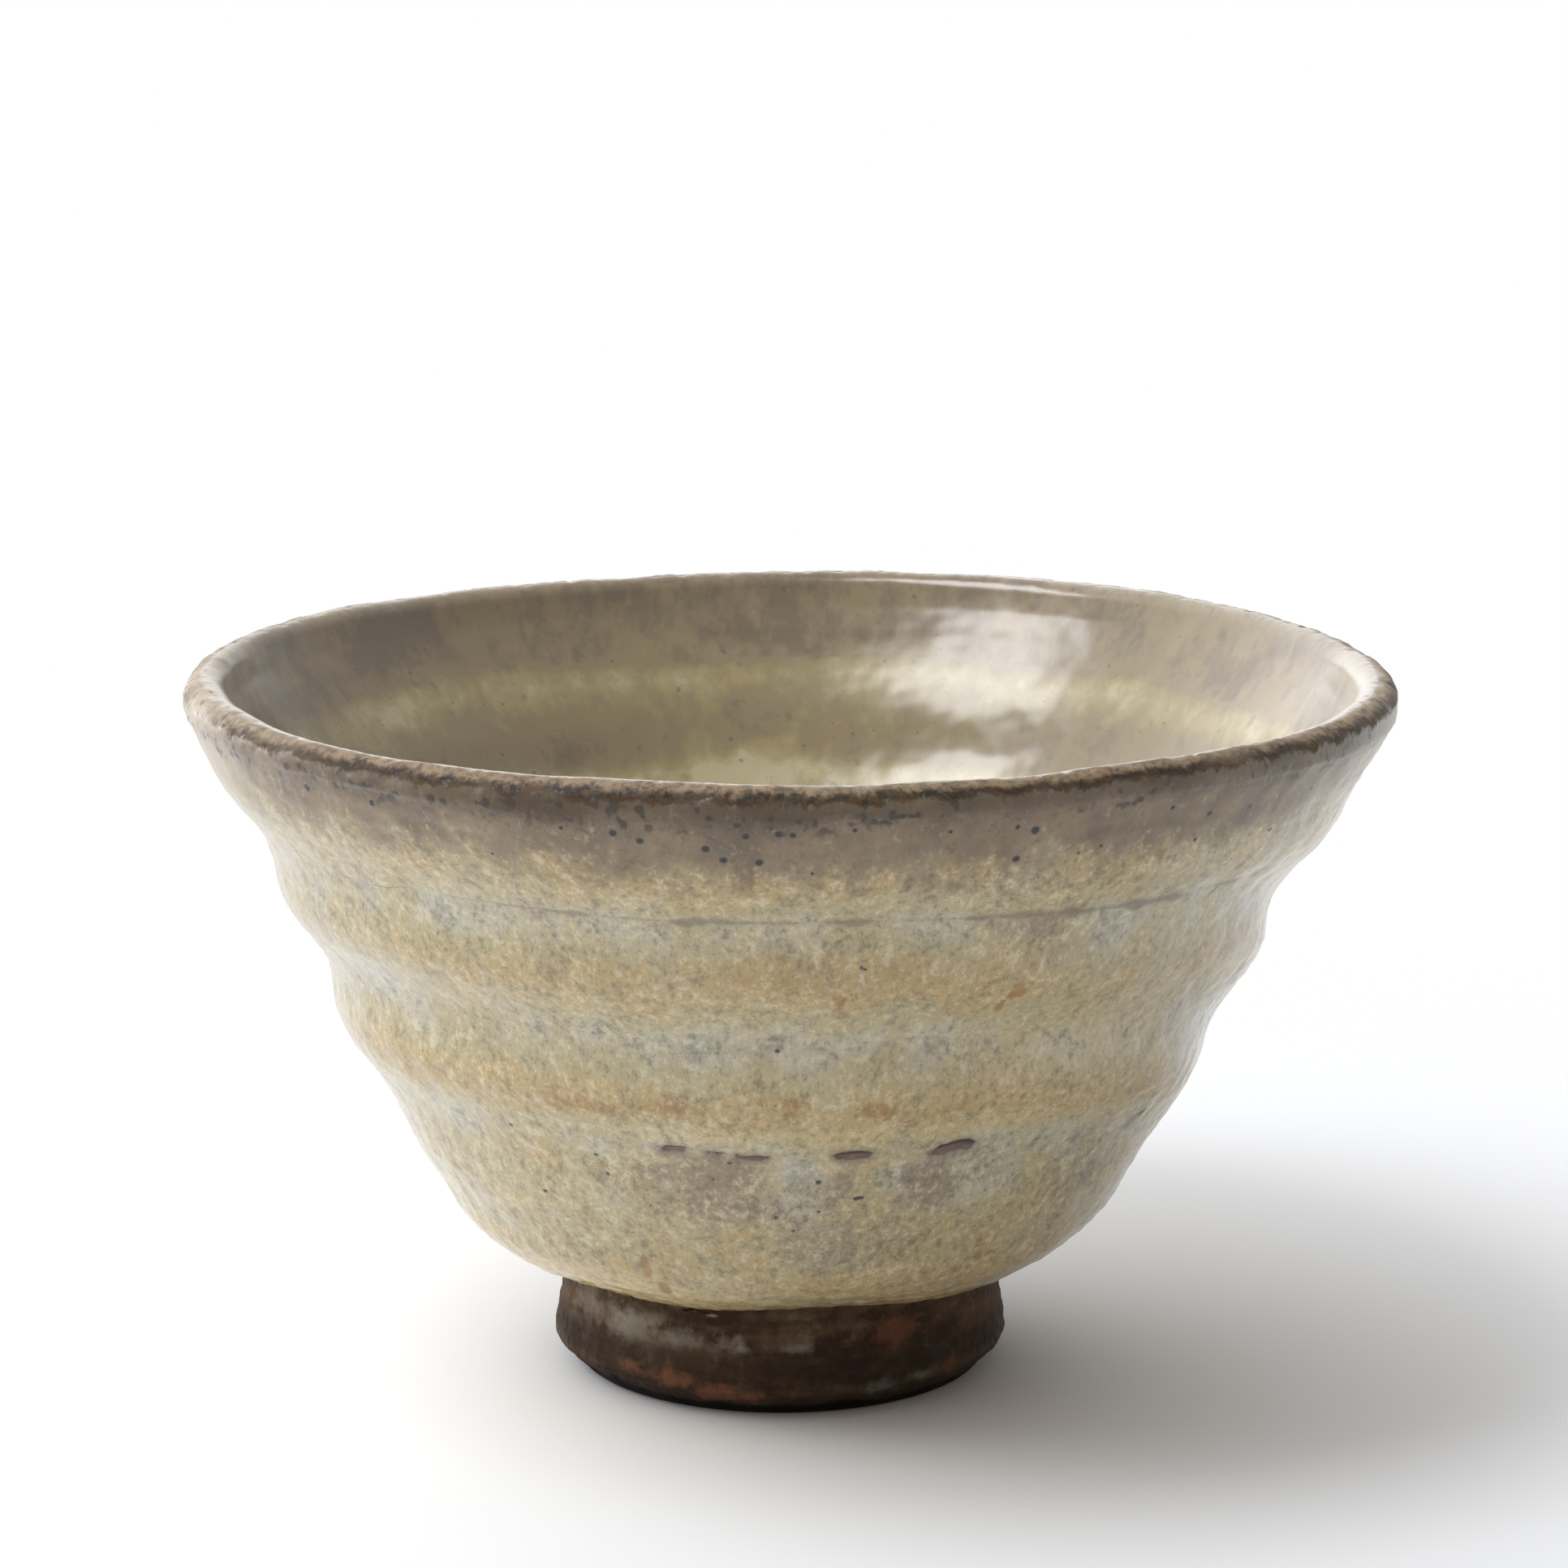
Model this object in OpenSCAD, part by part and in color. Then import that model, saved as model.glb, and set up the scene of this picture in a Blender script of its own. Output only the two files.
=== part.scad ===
// A wheel-thrown stoneware sake cup: a thick bowl with spiral throwing ridges, standing on a
// turned foot ring, coated with glaze inside and out and with an iron-brown glaze round the lip.
// The origin is on the ground below the middle of the lip. The front of the cup faces -Y.

/* [Cup] */
// Diameter over the widest part of the lip
lip_d = 75.2; // [64:0.2:90]
// Height from the ground to the highest point of the lip
cup_h = 44.8; // [38:0.2:56]
// Distance that the foot's centre stands to the left of the lip's centre
lean = 0.6; // [0:0.1:1.5]

/* [Foot] */
// Diameter of the foot at its widest, just above the worn lower edge
foot_d = 28.8; // [26:0.1:34]
// Diameter of the foot where it meets the bowl
foot_top_d = 27.2; // [24:0.1:32]
// Height of the foot, from the ground to the bowl's underside
foot_h = 7.4; // [6:0.1:9]
// Height and depth of the worn slope round the foot's lower edge
foot_worn = 1.8; // [0.6:0.1:2.2]
// Width of the foot's ring, from its widest part in to the hollow
ring_w = 4.6; // [3.8:0.1:6]
// Height of the hollow that is turned out inside the ring
hollow_h = 3.8; // [2.5:0.1:5]
// Height of the small knob that the turning tool leaves in the hollow
knob_h = 0.9; // [0.2:0.1:1.5]
// Diameter of that knob
knob_d = 6.4; // [4:0.1:9]

/* [Bowl] */
// Wall thickness low on the side, measured level and with both coats
wall_t = 4.4; // [3.4:0.1:6]
// Thickness of the rounded lip
lip_t = 2.6; // [2:0.1:3.2]
// Floor thickness between the foot's top and the inside
floor_t = 3.8; // [3:0.1:6]
// Height of the rounded well at the bottom of the inside
well_h = 7.0; // [5:0.1:10]

/* [Throwing ridges] */
// Rise of the spiral ridge in one turn
ridge_pitch = 8.35; // [6:0.05:11]
// Height of the ridge above the smooth wall, where it is strongest
ridge_depth = 0.54; // [0:0.02:0.8]
// Direction round the cup, in degrees, at which the spiral starts
ridge_start = 5; // [0:1:359]

/* [Lip] */
// Drop of the three low places round the lip
lip_wave = 0.34; // [0:0.02:0.8]
// Drop of the two low sides of the lip
lip_sag = 0.12; // [0:0.02:0.6]
// Direction of the lip's highest point, in degrees
lip_peak = 54; // [0:1:359]

/* [Glaze] */
// Thickness of the glaze on the wall
glaze_t = 0.5; // [0.3:0.05:0.7]
// Width of the bare clay between the foot and the glaze
bare_w = 1.6; // [0.8:0.1:2.5]
// Height of the thick roll in which the glaze stopped running
roll_h = 1.2; // [0.8:0.1:2]
// Depth of the iron-brown glaze, from the top of the lip down
lip_glaze_h = 5.4; // [4:0.1:8]

/* [Hidden] */
$fn = 96;

// Colours as photographed
clay_colour = [0.24, 0.19, 0.16];
foot_colour = [0.20, 0.15, 0.12];
glaze_colour = [0.70, 0.66, 0.54];
roll_colour = [0.62, 0.52, 0.34];
lip_colour = [0.40, 0.32, 0.24];
inside_colour = [0.66, 0.62, 0.50];

// Sides of the faceted skins, and steps along each stretch of the section
sides = 44;
roll_steps = 3;
wall_steps = 21;
edge_steps = 2;
lip_steps = 6;
inside_steps = 12;
well_steps = 8;

lip_r = lip_d / 2;
foot_r = foot_d / 2;
seat_r = foot_top_d / 2;
bowl_h = cup_h - foot_h;
floor_z = foot_h + floor_t;
well_z = floor_z + well_h;
band_z = cup_h - lip_glaze_h;

// The outside's outline: share of the way up from the seat, then share of the way out to the lip
outline_shares = [
    [0.000, 0.066], [0.024, 0.163], [0.059, 0.246], [0.102, 0.312], [0.163, 0.361], [0.283, 0.468],
    [0.444, 0.594], [0.604, 0.700], [0.765, 0.838], [0.856, 0.919], [0.898, 0.954], [0.960, 0.998]
];
// How much of the ridge shows outside and inside, by share of the way up
ridge_shares = [[0.00, 0], [0.10, 0], [0.16, 0.38], [0.28, 0.40], [0.44, 0.68], [0.60, 1], [0.76, 0.64],
    [0.86, 0.19], [0.90, 0.06], [0.95, 0]];
inside_ridge_shares = [[0.25, 0], [0.40, 0.45], [0.70, 0.45], [0.90, 0]];
// Lift of the ridge above its even spiral: share of a turn from the left side, then share of the pitch
lift_shares = [[0, 0], [0.04, 0.02], [0.08, 0.13], [0.17, 0.24], [0.25, 0.33], [0.38, 0.35], [0.42, 0.24],
    [0.46, 0.05], [0.5, 0], [1, 0]];
// The wall's thickness: share of the way up, then share of the way from the lip's to the low wall's
wall_shares = [[0.10, 2.1], [0.28, 1.65], [0.44, 1], [0.60, 0.68], [0.76, 0.4], [0.86, 0.22], [0.94, 0]];
// How much of the lip's wave reaches down the wall, by share of the way up
wave_shares = [[0, 0], [0.7, 0], [0.95, 1]];
// The glaze's thickness against the wall's own, along the roll, over the lip and in the well
roll_glaze_shares = [0.9, 1.5, 1.4, 1];
lip_glaze_share = 0.75;
well_glaze_share = 1.8;
// Crowding of the section's steps towards the belly's turn
crowding_share = 1.3;
// Lean of the wall just below the lip, in degrees from upright
lip_lean = 26;
// Order of the curve that the well follows
well_order = 3.6;

// Value at x of a table of pairs, eased so that it has no corners
function slope(t, i) = let (a = max(i - 1, 0), b = min(i + 1, len(t) - 1))
    (t[b][1] - t[a][1]) / (t[b][0] - t[a][0]);
function span(t, x, i = 0) = (i >= len(t) - 2 || x <= t[i + 1][0]) ? i : span(t, x, i + 1);
function eased(t, x) = let (
        i = span(t, x),
        w = t[i + 1][0] - t[i][0],
        s = (x - t[i][0]) / w,
        p = t[i][1],
        q = t[i + 1][1],
        m = slope(t, i) * w,
        n = slope(t, i + 1) * w
    ) p + s * (m + s * (3 * (q - p) - 2 * m - n + s * (m + n - 2 * (q - p))));

function up_share(z) = (z - foot_h) / bowl_h;
function outside_r(z) = seat_r + (lip_r - seat_r) * eased(outline_shares, up_share(z));
function wall_at(z) = lip_t + (wall_t - lip_t) * lookup(up_share(z), wall_shares);
function inside_r(z) = outside_r(z) - wall_at(z);

// The glaze starts where the outline lies bare_w outside the foot
line_r = seat_r + bare_w;
line_z = foot_h + bowl_h * outline_shares[0][0];
roll_z = line_z + roll_h;

// One row of the section: radius, height, share of the ridge, share of the lip's wave, glaze thickness
function outer_row(z, glaze) =
    [max(outside_r(z), line_r), z, lookup(up_share(z), ridge_shares), lookup(up_share(z), wave_shares), glaze];
function inner_row(z, glaze) =
    [inside_r(z), z, lookup(up_share(z), inside_ridge_shares), lookup(up_share(z), wave_shares), glaze];

lip_c = [lip_r - lip_t / 2, cup_h - lip_t / 2];
lip_glaze_t = glaze_t * lip_glaze_share;
function lip_row(a) = [lip_c[0] + lip_t / 2 * cos(a), lip_c[1] + lip_t / 2 * sin(a), 0, 1, lip_glaze_t];
edge_z = lip_c[1] - lip_t / 2 * sin(lip_lean);
inner_edge_z = lip_c[1] + lip_t / 2 * sin(lip_lean);

roll_rows = [for (i = [0:roll_steps]) outer_row(line_z + roll_h * i / roll_steps, glaze_t * roll_glaze_shares[i])];
wall_rows = [for (i = [1:wall_steps])
    outer_row(roll_z + (band_z - roll_z) * pow(i / wall_steps, crowding_share), glaze_t)];
edge_rows = [for (i = [1:edge_steps]) outer_row(band_z + (edge_z - band_z) * i / (edge_steps + 1), lip_glaze_t)];
lip_rows = [for (i = [0:lip_steps]) lip_row(-lip_lean + 180 * i / lip_steps)];
inner_edge_rows = [for (i = [1:edge_steps])
    inner_row(inner_edge_z + (band_z - inner_edge_z) * i / (edge_steps + 1), lip_glaze_t)];
inside_rows = [for (i = [0:inside_steps]) inner_row(band_z + (well_z - band_z) * i / inside_steps, glaze_t)];
well_rows = [for (i = [1:well_steps - 1]) let (s = cos(90 * i / well_steps))
    [inside_r(well_z) * s, floor_z + well_h * pow(s, well_order), 0, 0,
        glaze_t * (1 + (well_glaze_share - 1) * i / well_steps)]];
rows = concat(roll_rows, wall_rows, edge_rows, lip_rows, inner_edge_rows, inside_rows, well_rows);

// Rows at which one coat ends and the next begins
roll_end = roll_steps;
wall_end = roll_end + wall_steps;
band_end = wall_end + 2 * edge_steps + lip_steps + 2;
last = len(rows) - 1;

function wave_at(a) = -lip_wave / 2 * (1 - cos(3 * (a - lip_peak))) - lip_sag / 2 * (1 - cos(2 * (a - lip_peak)));
function lift_at(a) = ridge_pitch * eased(lift_shares, (a + 180) % 360 / 360);
function ridge_at(z, a) = ridge_depth * sin(360 * (z - lift_at(a)) / ridge_pitch + a + ridge_start);
// The glazed face at one direction round the cup, and the clay's face below it
function face(a) = [for (q = rows) [q[0] + q[2] * ridge_at(q[1], a), q[1] + q[3] * wave_at(a)]];
function outward(p, i) = let (t = p[min(i + 1, last)] - p[max(i - 1, 0)]) [t[1], -t[0]] / norm(t);
function under(p) = [for (i = [0:last]) p[i] - rows[i][4] * outward(p, i)];
// A point of the section turned to its direction, on the bowl's leaning axis
function axis_x(z) = -lean * (1 - up_share(z));
function place(p, a) = [p[0] * cos(a) + axis_x(p[1]), p[0] * sin(a), p[1]];

turns = [for (j = [0:sides - 1]) 360 * j / sides];
faces_out = [for (a = turns) face(a)];
faces_in = [for (p = faces_out) under(p)];
well_top = [axis_x(floor_z), 0, floor_z];
well_clay = well_top - [0, 0, glaze_t * well_glaze_share];
seat_centre = [axis_x(foot_h), 0, foot_h];

// A solid turned from one string of points per direction. Each pair of neighbours in the string
// makes a band of triangles. The bands from back[0] up to back[1] run down a face that a neighbour
// runs up, so they are split by the other diagonal, and both solids hold the same triangles there.
// With no poles the string closes on itself.
module turned(strings, back, poles = []) {
    k = len(strings[0]);
    n = len(strings);
    open = len(poles) == 2;
    function at(j, i) = (j % n) * k + i % k;
    quads = [for (j = [0:n - 1]) for (i = [0:(open ? k - 2 : k - 1)]) let (
            a = at(j, i),
            b = at(j, i + 1),
            c = at(j + 1, i + 1),
            d = at(j + 1, i)
        ) each (i >= back[0] && i < back[1] ? [[a, b, d], [b, c, d]] : [[a, b, c], [a, c, d]])];
    caps = open ? [for (j = [0:n - 1]) each [
        [n * k, at(j, 0), at(j + 1, 0)],
        [n * k + 1, at(j + 1, k - 1), at(j, k - 1)]
    ]] : [];
    polyhedron(concat([for (s = strings) each s], poles), concat(quads, caps), convexity = 6);
}

// The glazed face and the clay's face between two rows, turned to each direction
function up_the_glaze(j, first, end) = [for (i = [first:end]) place(faces_out[j][i], turns[j])];
function up_the_clay(j, first, end) = [for (i = [first:end]) place(faces_in[j][i], turns[j])];
function down_the_clay(j, first, end) = [for (i = [end:-1:first]) place(faces_in[j][i], turns[j])];

// The coat between two rows of the section, with the clay's face as its back
module coat(first, end) {
    turned([for (j = [0:sides - 1]) concat(up_the_glaze(j, first, end), down_the_clay(j, first, end))],
        [end - first, 2 * (end - first) + 1]);
}

// The thrown bowl, from the flat seat for the foot up the outside, over the lip and down to the well
module clay_bowl() {
    color(clay_colour)
        turned([for (j = [0:sides - 1]) concat([place([seat_r, foot_h], turns[j])], up_the_clay(j, 0, last))],
            [0, 0], [seat_centre, well_clay]);
}

module outer_glaze() {
    color(glaze_colour) coat(roll_end, wall_end);
}

module glaze_roll() {
    color(roll_colour) coat(0, roll_end);
}

module lip_glaze() {
    color(lip_colour) coat(wall_end, band_end);
}

// The inside coat ends in a pole on both faces at the middle of the well
module inner_glaze() {
    color(inside_colour)
        turned([for (j = [0:sides - 1]) concat(down_the_clay(j, band_end, last), up_the_glaze(j, band_end, last))],
            [0, last - band_end], [well_clay, well_top]);
}

// The turned foot: a ring with a worn outer edge, and the web above its hollow
hollow_r = foot_r - ring_w;
hollow_taper = 0.8;
inner_bevel = 0.5;
knob_steps = 5;
module foot() {
    knob = [for (i = [0:knob_steps]) let (s = i / knob_steps)
        [knob_d / 2 * s, hollow_h - knob_h / 2 * (1 + cos(180 * s))]];
    color(foot_colour)
        translate([axis_x(foot_h), 0, 0])
            rotate_extrude()
                polygon(concat(knob, [
                    [hollow_r - hollow_taper, hollow_h],
                    [hollow_r, inner_bevel],
                    [hollow_r + inner_bevel, 0],
                    [foot_r - foot_worn, 0],
                    [foot_r, foot_worn],
                    [seat_r, foot_h],
                    [0, foot_h]
                ]));
}

clay_bowl();
foot();
outer_glaze();
glaze_roll();
lip_glaze();
inner_glaze();
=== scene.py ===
# %% [markdown]
# # A thrown sake cup, surface by surface
#
# The real cup is one lump of dark stoneware, thrown on a wheel, turned at the foot, and coated with
# an ash glaze that pools pale and blue in the grooves and burns ochre on the ridges. A sculpted or
# scanned mesh could hold that shape, but a cup is a profile carried round an axis, so every surface
# here is one grid: rows run along the profile, columns run round the cup, and both shape and colour
# are functions of the two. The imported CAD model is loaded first. It fixes the sizes, and each new
# piece stands for one of its nodes.

# %% Load the fixed frame
import math

import bpy
import numpy as np
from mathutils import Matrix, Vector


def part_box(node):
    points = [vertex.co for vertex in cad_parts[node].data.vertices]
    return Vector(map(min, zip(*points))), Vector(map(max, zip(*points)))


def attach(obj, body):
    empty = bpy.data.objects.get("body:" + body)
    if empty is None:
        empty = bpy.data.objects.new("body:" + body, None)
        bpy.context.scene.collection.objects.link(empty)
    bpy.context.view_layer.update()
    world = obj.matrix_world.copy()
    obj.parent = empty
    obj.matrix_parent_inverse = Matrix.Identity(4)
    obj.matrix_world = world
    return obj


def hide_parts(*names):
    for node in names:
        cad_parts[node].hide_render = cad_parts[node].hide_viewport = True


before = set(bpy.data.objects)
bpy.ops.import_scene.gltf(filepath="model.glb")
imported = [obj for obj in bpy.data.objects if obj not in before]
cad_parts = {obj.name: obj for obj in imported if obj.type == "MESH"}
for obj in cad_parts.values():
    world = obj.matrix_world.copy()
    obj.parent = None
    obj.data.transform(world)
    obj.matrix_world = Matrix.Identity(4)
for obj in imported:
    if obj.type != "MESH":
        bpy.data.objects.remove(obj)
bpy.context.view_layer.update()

# %% [markdown]
# ## The camera
#
# The photograph was taken from a low seat: about 30 cm in front of the cup, a hand's breadth above
# its lip, looking a little down. A pinhole camera with the same distance and tilt gives the same
# ellipses at lip and foot. The focal length in pixels turns into a lens by the width of the sensor.

# %% Place the camera
MM = 0.001
eye_mm = (-0.41, -300.0, 98.7)
look_down = math.radians(11.62)
picture_px = 1932
focal_px = 6030
sensor_mm = 36

camera_data = bpy.data.cameras.new("camera")
camera_data.sensor_width = sensor_mm
camera_data.lens = sensor_mm * focal_px / picture_px
camera = bpy.data.objects.new("camera", camera_data)
camera.location = [MM * v for v in eye_mm]
camera.rotation_euler = (math.pi / 2 - look_down, 0, 0)
bpy.context.scene.collection.objects.link(camera)
bpy.context.scene.camera = camera
bpy.context.scene.view_settings.view_transform = "Standard"
print("lens in mm:", round(camera_data.lens, 1))

# %% [markdown]
# ## Shader maths as Python
#
# A finish is a formula: mix this colour with that one where the glaze is thin. Wiring such formulas
# by hand takes pages of nodes. A small class that wraps one socket and overloads the operators lets
# the formula stand as written, and a single method adds every other node.

# %% One class for wires
class Wire:
    """A socket in a node tree. Arithmetic on wires adds Math nodes."""

    def __init__(self, tree, socket=None):
        self.tree = tree
        self.socket = socket

    def node(self, kind, settings=(), links=(), out=0):
        """Add a node. Its settings come first, then the values or wires of its sockets."""
        made = self.tree.nodes.new(kind)
        for key, value in dict(settings).items():
            if key == "stops":
                for extra in value[2:]:
                    made.color_ramp.elements.new(extra[0])
                for stop, (place, colour) in zip(made.color_ramp.elements, value):
                    stop.position = place
                    stop.color = colour
            else:
                setattr(made, key, value)
        for key, value in dict(links).items():
            if isinstance(value, Wire):
                self.tree.links.new(value.socket, made.inputs[key])
            else:
                made.inputs[key].default_value = value
        return Wire(self.tree, made.outputs[out] if made.outputs else None)

    def maths(self, operation, first, second=0.0):
        return self.node("ShaderNodeMath", {"operation": operation}, {0: first, 1: second})

    def __add__(self, other):
        return self.maths("ADD", self, other)

    def __radd__(self, other):
        return self.maths("ADD", other, self)

    def __sub__(self, other):
        return self.maths("SUBTRACT", self, other)

    def __rsub__(self, other):
        return self.maths("SUBTRACT", other, self)

    def __mul__(self, other):
        return self.maths("MULTIPLY", self, other)

    def __rmul__(self, other):
        return self.maths("MULTIPLY", other, self)

    def most(self, other):
        """The larger of the two."""
        return self.maths("MAXIMUM", self, other)

    def between(self, low, high):
        """0 below low, 1 above high and a smooth step in between. low may be above high."""
        return self.node("ShaderNodeMapRange", {"interpolation_type": "SMOOTHSTEP"},
                         {0: self, 1: low, 2: high, 3: 0.0, 4: 1.0})

    def under(self, colour, share):
        """This colour with another one laid over it, by a share from 0 to 1."""
        return self.node("ShaderNodeMix", {"data_type": "RGBA"}, {0: share, 6: self, 7: colour}, out=2)

    def painted(self, *layers):
        """This colour with plain ones laid over it in turn, each by a share from 0 to 1."""
        colour = self
        for hexes, share in layers:
            colour = colour.under(paint(hexes), share)
        return colour


def paint(hexes):
    """A colour as it looks, such as c9bfa0, turned into the linear light that shaders count in."""
    seen = [int(hexes[k:k + 2], 16) / 255 for k in (0, 2, 4)]
    return tuple(v / 12.92 if v <= 0.04045 else ((v + 0.055) / 1.055) ** 2.4 for v in seen) + (1.0,)


print("mid grey in linear light:", round(paint("808080")[0], 3))

# %% [markdown]
# ## Floor, backdrop and light
#
# The cup stands on a white sweep beside a window: broad daylight from the left, a brighter pane a
# little in front of it that shows as a reflection inside the cup, and white surroundings that fill
# the shade. The world is the white surroundings. What the camera and the glossy reflections see of
# it is plain white, while the cup is lit by less than that, so the colours keep their own depth.
# The floor takes the shadow, which is the only mark on it. Close to the cup a faint warm glow is
# painted into the floor, which makes its shade a little warm, and further out the floor fades into
# plain white.

# %% Helpers for lamps, floor and world
CUP_CENTRE = np.array([0.0, 0.0, 0.024])


def pane(name, round_deg, up_deg, distance, width, height, brightness):
    """A window pane seen from the cup at an angle in front of the left side and above the table."""
    lamp = bpy.data.lights.new(name, "AREA")
    lamp.shape = "RECTANGLE"
    lamp.size = width
    lamp.size_y = height
    lamp.energy = brightness * width * height * math.pi
    turn, rise = math.radians(round_deg), math.radians(up_deg)
    way = np.array([-math.cos(turn) * math.cos(rise), -math.sin(turn) * math.cos(rise), math.sin(rise)])
    holder = bpy.data.objects.new(name, lamp)
    holder.location = CUP_CENTRE + way * distance
    holder.rotation_euler = (math.pi / 2 - rise, 0, -math.pi / 2 + turn)
    bpy.context.scene.collection.objects.link(holder)


def seen_directly(wire):
    """1 for rays that come straight from the camera or off or through something shiny, else 0."""
    rays = wire.node("ShaderNodeLightPath")
    outputs = rays.socket.node.outputs
    straight = Wire(rays.tree, outputs["Is Camera Ray"])
    mirrored = Wire(rays.tree, outputs["Is Glossy Ray"])
    through = Wire(rays.tree, outputs["Is Transmission Ray"])
    return straight.maths("MINIMUM", straight + mirrored + through, 1.0)


def blank_tree(tree):
    """Empty a node tree and return a wire to start from."""
    tree.nodes.clear()
    return Wire(tree)


# %% White surroundings
OVERHEAD = 0.36
BACK_LEFT = 2.25
world = bpy.data.worlds.new("white_surroundings")
world.use_nodes = True
start = blank_tree(world.node_tree)
heading = start.node("ShaderNodeTexCoord", {}, {}, "Generated")


def towards(way):
    """How far the light comes from a direction: the cosine to it, and 0 from behind it."""
    dot = start.node("ShaderNodeVectorMath", {"operation": "DOT_PRODUCT"}, {0: heading, 1: way}, "Value")
    return dot.most(0.0)


level = towards((0, 0, 1)) * OVERHEAD + towards((-0.8, 0.6, 0)) * BACK_LEFT
level = level.most(seen_directly(start))
sky = start.node("ShaderNodeBackground", {}, {"Color": (1, 1, 1, 1), "Strength": level})
start.node("ShaderNodeOutputWorld", {}, {"Surface": sky})
bpy.context.scene.world = world

# %% The floor
FLOOR_HALF = 3.0
SHADE_END = 0.02
WHITE_FROM = 0.13
WARM_GLOW = 0.03
floor_mesh = bpy.data.meshes.new("floor")
corners = [(sx * FLOOR_HALF, sy * FLOOR_HALF, 0.0) for sx, sy in ((-1, -1), (1, -1), (1, 1), (-1, 1))]
floor_mesh.from_pydata(corners, [], [(0, 1, 2, 3)])
floor = bpy.data.objects.new("floor", floor_mesh)
bpy.context.scene.collection.objects.link(floor)

floor_paint = bpy.data.materials.new("white_sweep")
floor_paint.use_nodes = True
start = blank_tree(floor_paint.node_tree)
lit = start.node("ShaderNodeBsdfDiffuse", {}, {"Color": paint("e4e2df")})
shown = start.node("ShaderNodeBsdfDiffuse", {}, {"Color": paint("f3f6fb")})
# A faint warm glow painted into the floor near the cup, which lifts and warms the cast shadow
glow = start.node("ShaderNodeEmission", {}, {"Color": paint("ffd9ae"), "Strength": WARM_GLOW})
bright = start.node("ShaderNodeAddShader", {}, {0: shown, 1: glow})
white = start.node("ShaderNodeEmission", {}, {"Color": (1, 1, 1, 1), "Strength": 1.0})
spot = start.node("ShaderNodeTexCoord", {}, {}, "Object")
away = start.node("ShaderNodeVectorMath", {"operation": "LENGTH"}, {0: spot}, "Value")
fade = away.between(SHADE_END, WHITE_FROM)
bright = start.node("ShaderNodeMixShader", {}, {0: fade, 1: bright, 2: white})
mixed = start.node("ShaderNodeMixShader", {}, {0: seen_directly(start), 1: lit, 2: bright})
start.node("ShaderNodeOutputMaterial", {}, {"Surface": mixed})
floor_mesh.materials.append(floor_paint)

# %% The window
pane("window", round_deg=24, up_deg=60, distance=0.70, width=0.27, height=0.43, brightness=6.8)

# %% [markdown]
# ## The section of the cup
#
# A potter pulls the wall up between two fingers, so inside and outside follow one curve. The shape
# is a table of shares, up the wall and out from the seat to the lip, eased so that it has no
# corners. Spline tools could draw it by hand, but a table can be evaluated anywhere, which the
# ridges, the glaze and the marks on it all need. The sizes come from the frame.

# %% Driving sizes, from the frame where it has them
foot_low, foot_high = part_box("foot")
lip_low, lip_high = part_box("lip_glaze")
FOOT_R = (foot_high.y - foot_low.y) / 2 / MM
FOOT_H = foot_high.z / MM
LEAN = -(foot_high.x + foot_low.x) / 2 / MM
LIP_R = (lip_high.y - lip_low.y) / 2 / MM
CUP_H = lip_high.z / MM
SEAT_R = 13.6
WALL_T = 4.4
LIP_T = 2.6
FLOOR_T = 3.8
WELL_H = 7.0
RIDGE_PITCH = 8.35
RIDGE_DEPTH = 0.54
RIDGE_START = math.radians(5)
LIP_WAVE = 0.34
LIP_SAG = 0.12
LIP_PEAK = math.radians(54)
GLAZE_T = 0.5
BARE_W = 1.6
ROLL_H = 1.2
LIP_GLAZE_H = 5.4
LIP_LEAN = math.radians(26)
WELL_ORDER = 3.6
bowl_h = CUP_H - FOOT_H
floor_z = FOOT_H + FLOOR_T
well_z = floor_z + WELL_H
band_z = CUP_H - LIP_GLAZE_H
line_r = SEAT_R + BARE_W
roll_z = FOOT_H + ROLL_H
print("lip radius", round(LIP_R, 2), "height", round(CUP_H, 2), "foot radius", round(FOOT_R, 2))

# %% Shares of the section
outline_shares = np.array([
    (0.000, 0.066), (0.024, 0.163), (0.059, 0.246), (0.102, 0.312), (0.163, 0.361), (0.283, 0.468),
    (0.444, 0.594), (0.604, 0.700), (0.765, 0.838), (0.856, 0.919), (0.898, 0.954), (0.960, 0.998)])
ridge_shares = np.array([(0.00, 0), (0.10, 0), (0.16, 0.38), (0.28, 0.40), (0.44, 0.68), (0.60, 1),
                         (0.76, 0.64), (0.86, 0.19), (0.90, 0.06), (0.95, 0)])
inside_ridge_shares = np.array([(0.25, 0), (0.40, 0.45), (0.70, 0.45), (0.90, 0)])
wall_shares = np.array([(0.10, 2.1), (0.28, 1.65), (0.44, 1), (0.60, 0.68), (0.76, 0.4), (0.86, 0.22),
                        (0.94, 0)])
wave_shares = np.array([(0, 0), (0.7, 0), (0.95, 1)])
lift_shares = np.array([(0, 0), (0.04, 0.02), (0.08, 0.13), (0.17, 0.24), (0.25, 0.33), (0.38, 0.35),
                        (0.42, 0.24), (0.46, 0.05), (0.5, 0), (1, 0)])
roll_glaze_shares = np.array([(0, 0.9), (0.33, 1.5), (0.67, 1.4), (1, 1)])
lip_glaze_share = 0.75
well_glaze_share = 1.8


def eased(table, x):
    """The table's value at x on a cubic through its points, whose slope at each point is that of the
    chord between its two neighbours."""
    places, values = table.T
    ends = np.arange(len(table))
    before, after = np.maximum(ends - 1, 0), np.minimum(ends + 1, len(table) - 1)
    slopes = (values[after] - values[before]) / (places[after] - places[before])
    i = np.clip(np.searchsorted(places, x) - 1, 0, len(table) - 2)
    width = places[i + 1] - places[i]
    s = (x - places[i]) / width
    p, q, m, n = values[i], values[i + 1], slopes[i] * width, slopes[i + 1] * width
    return p + s * (m + s * (3 * (q - p) - 2 * m - n + s * (m + n - 2 * (q - p))))


def share_up(z):
    return (z - FOOT_H) / bowl_h


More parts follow.
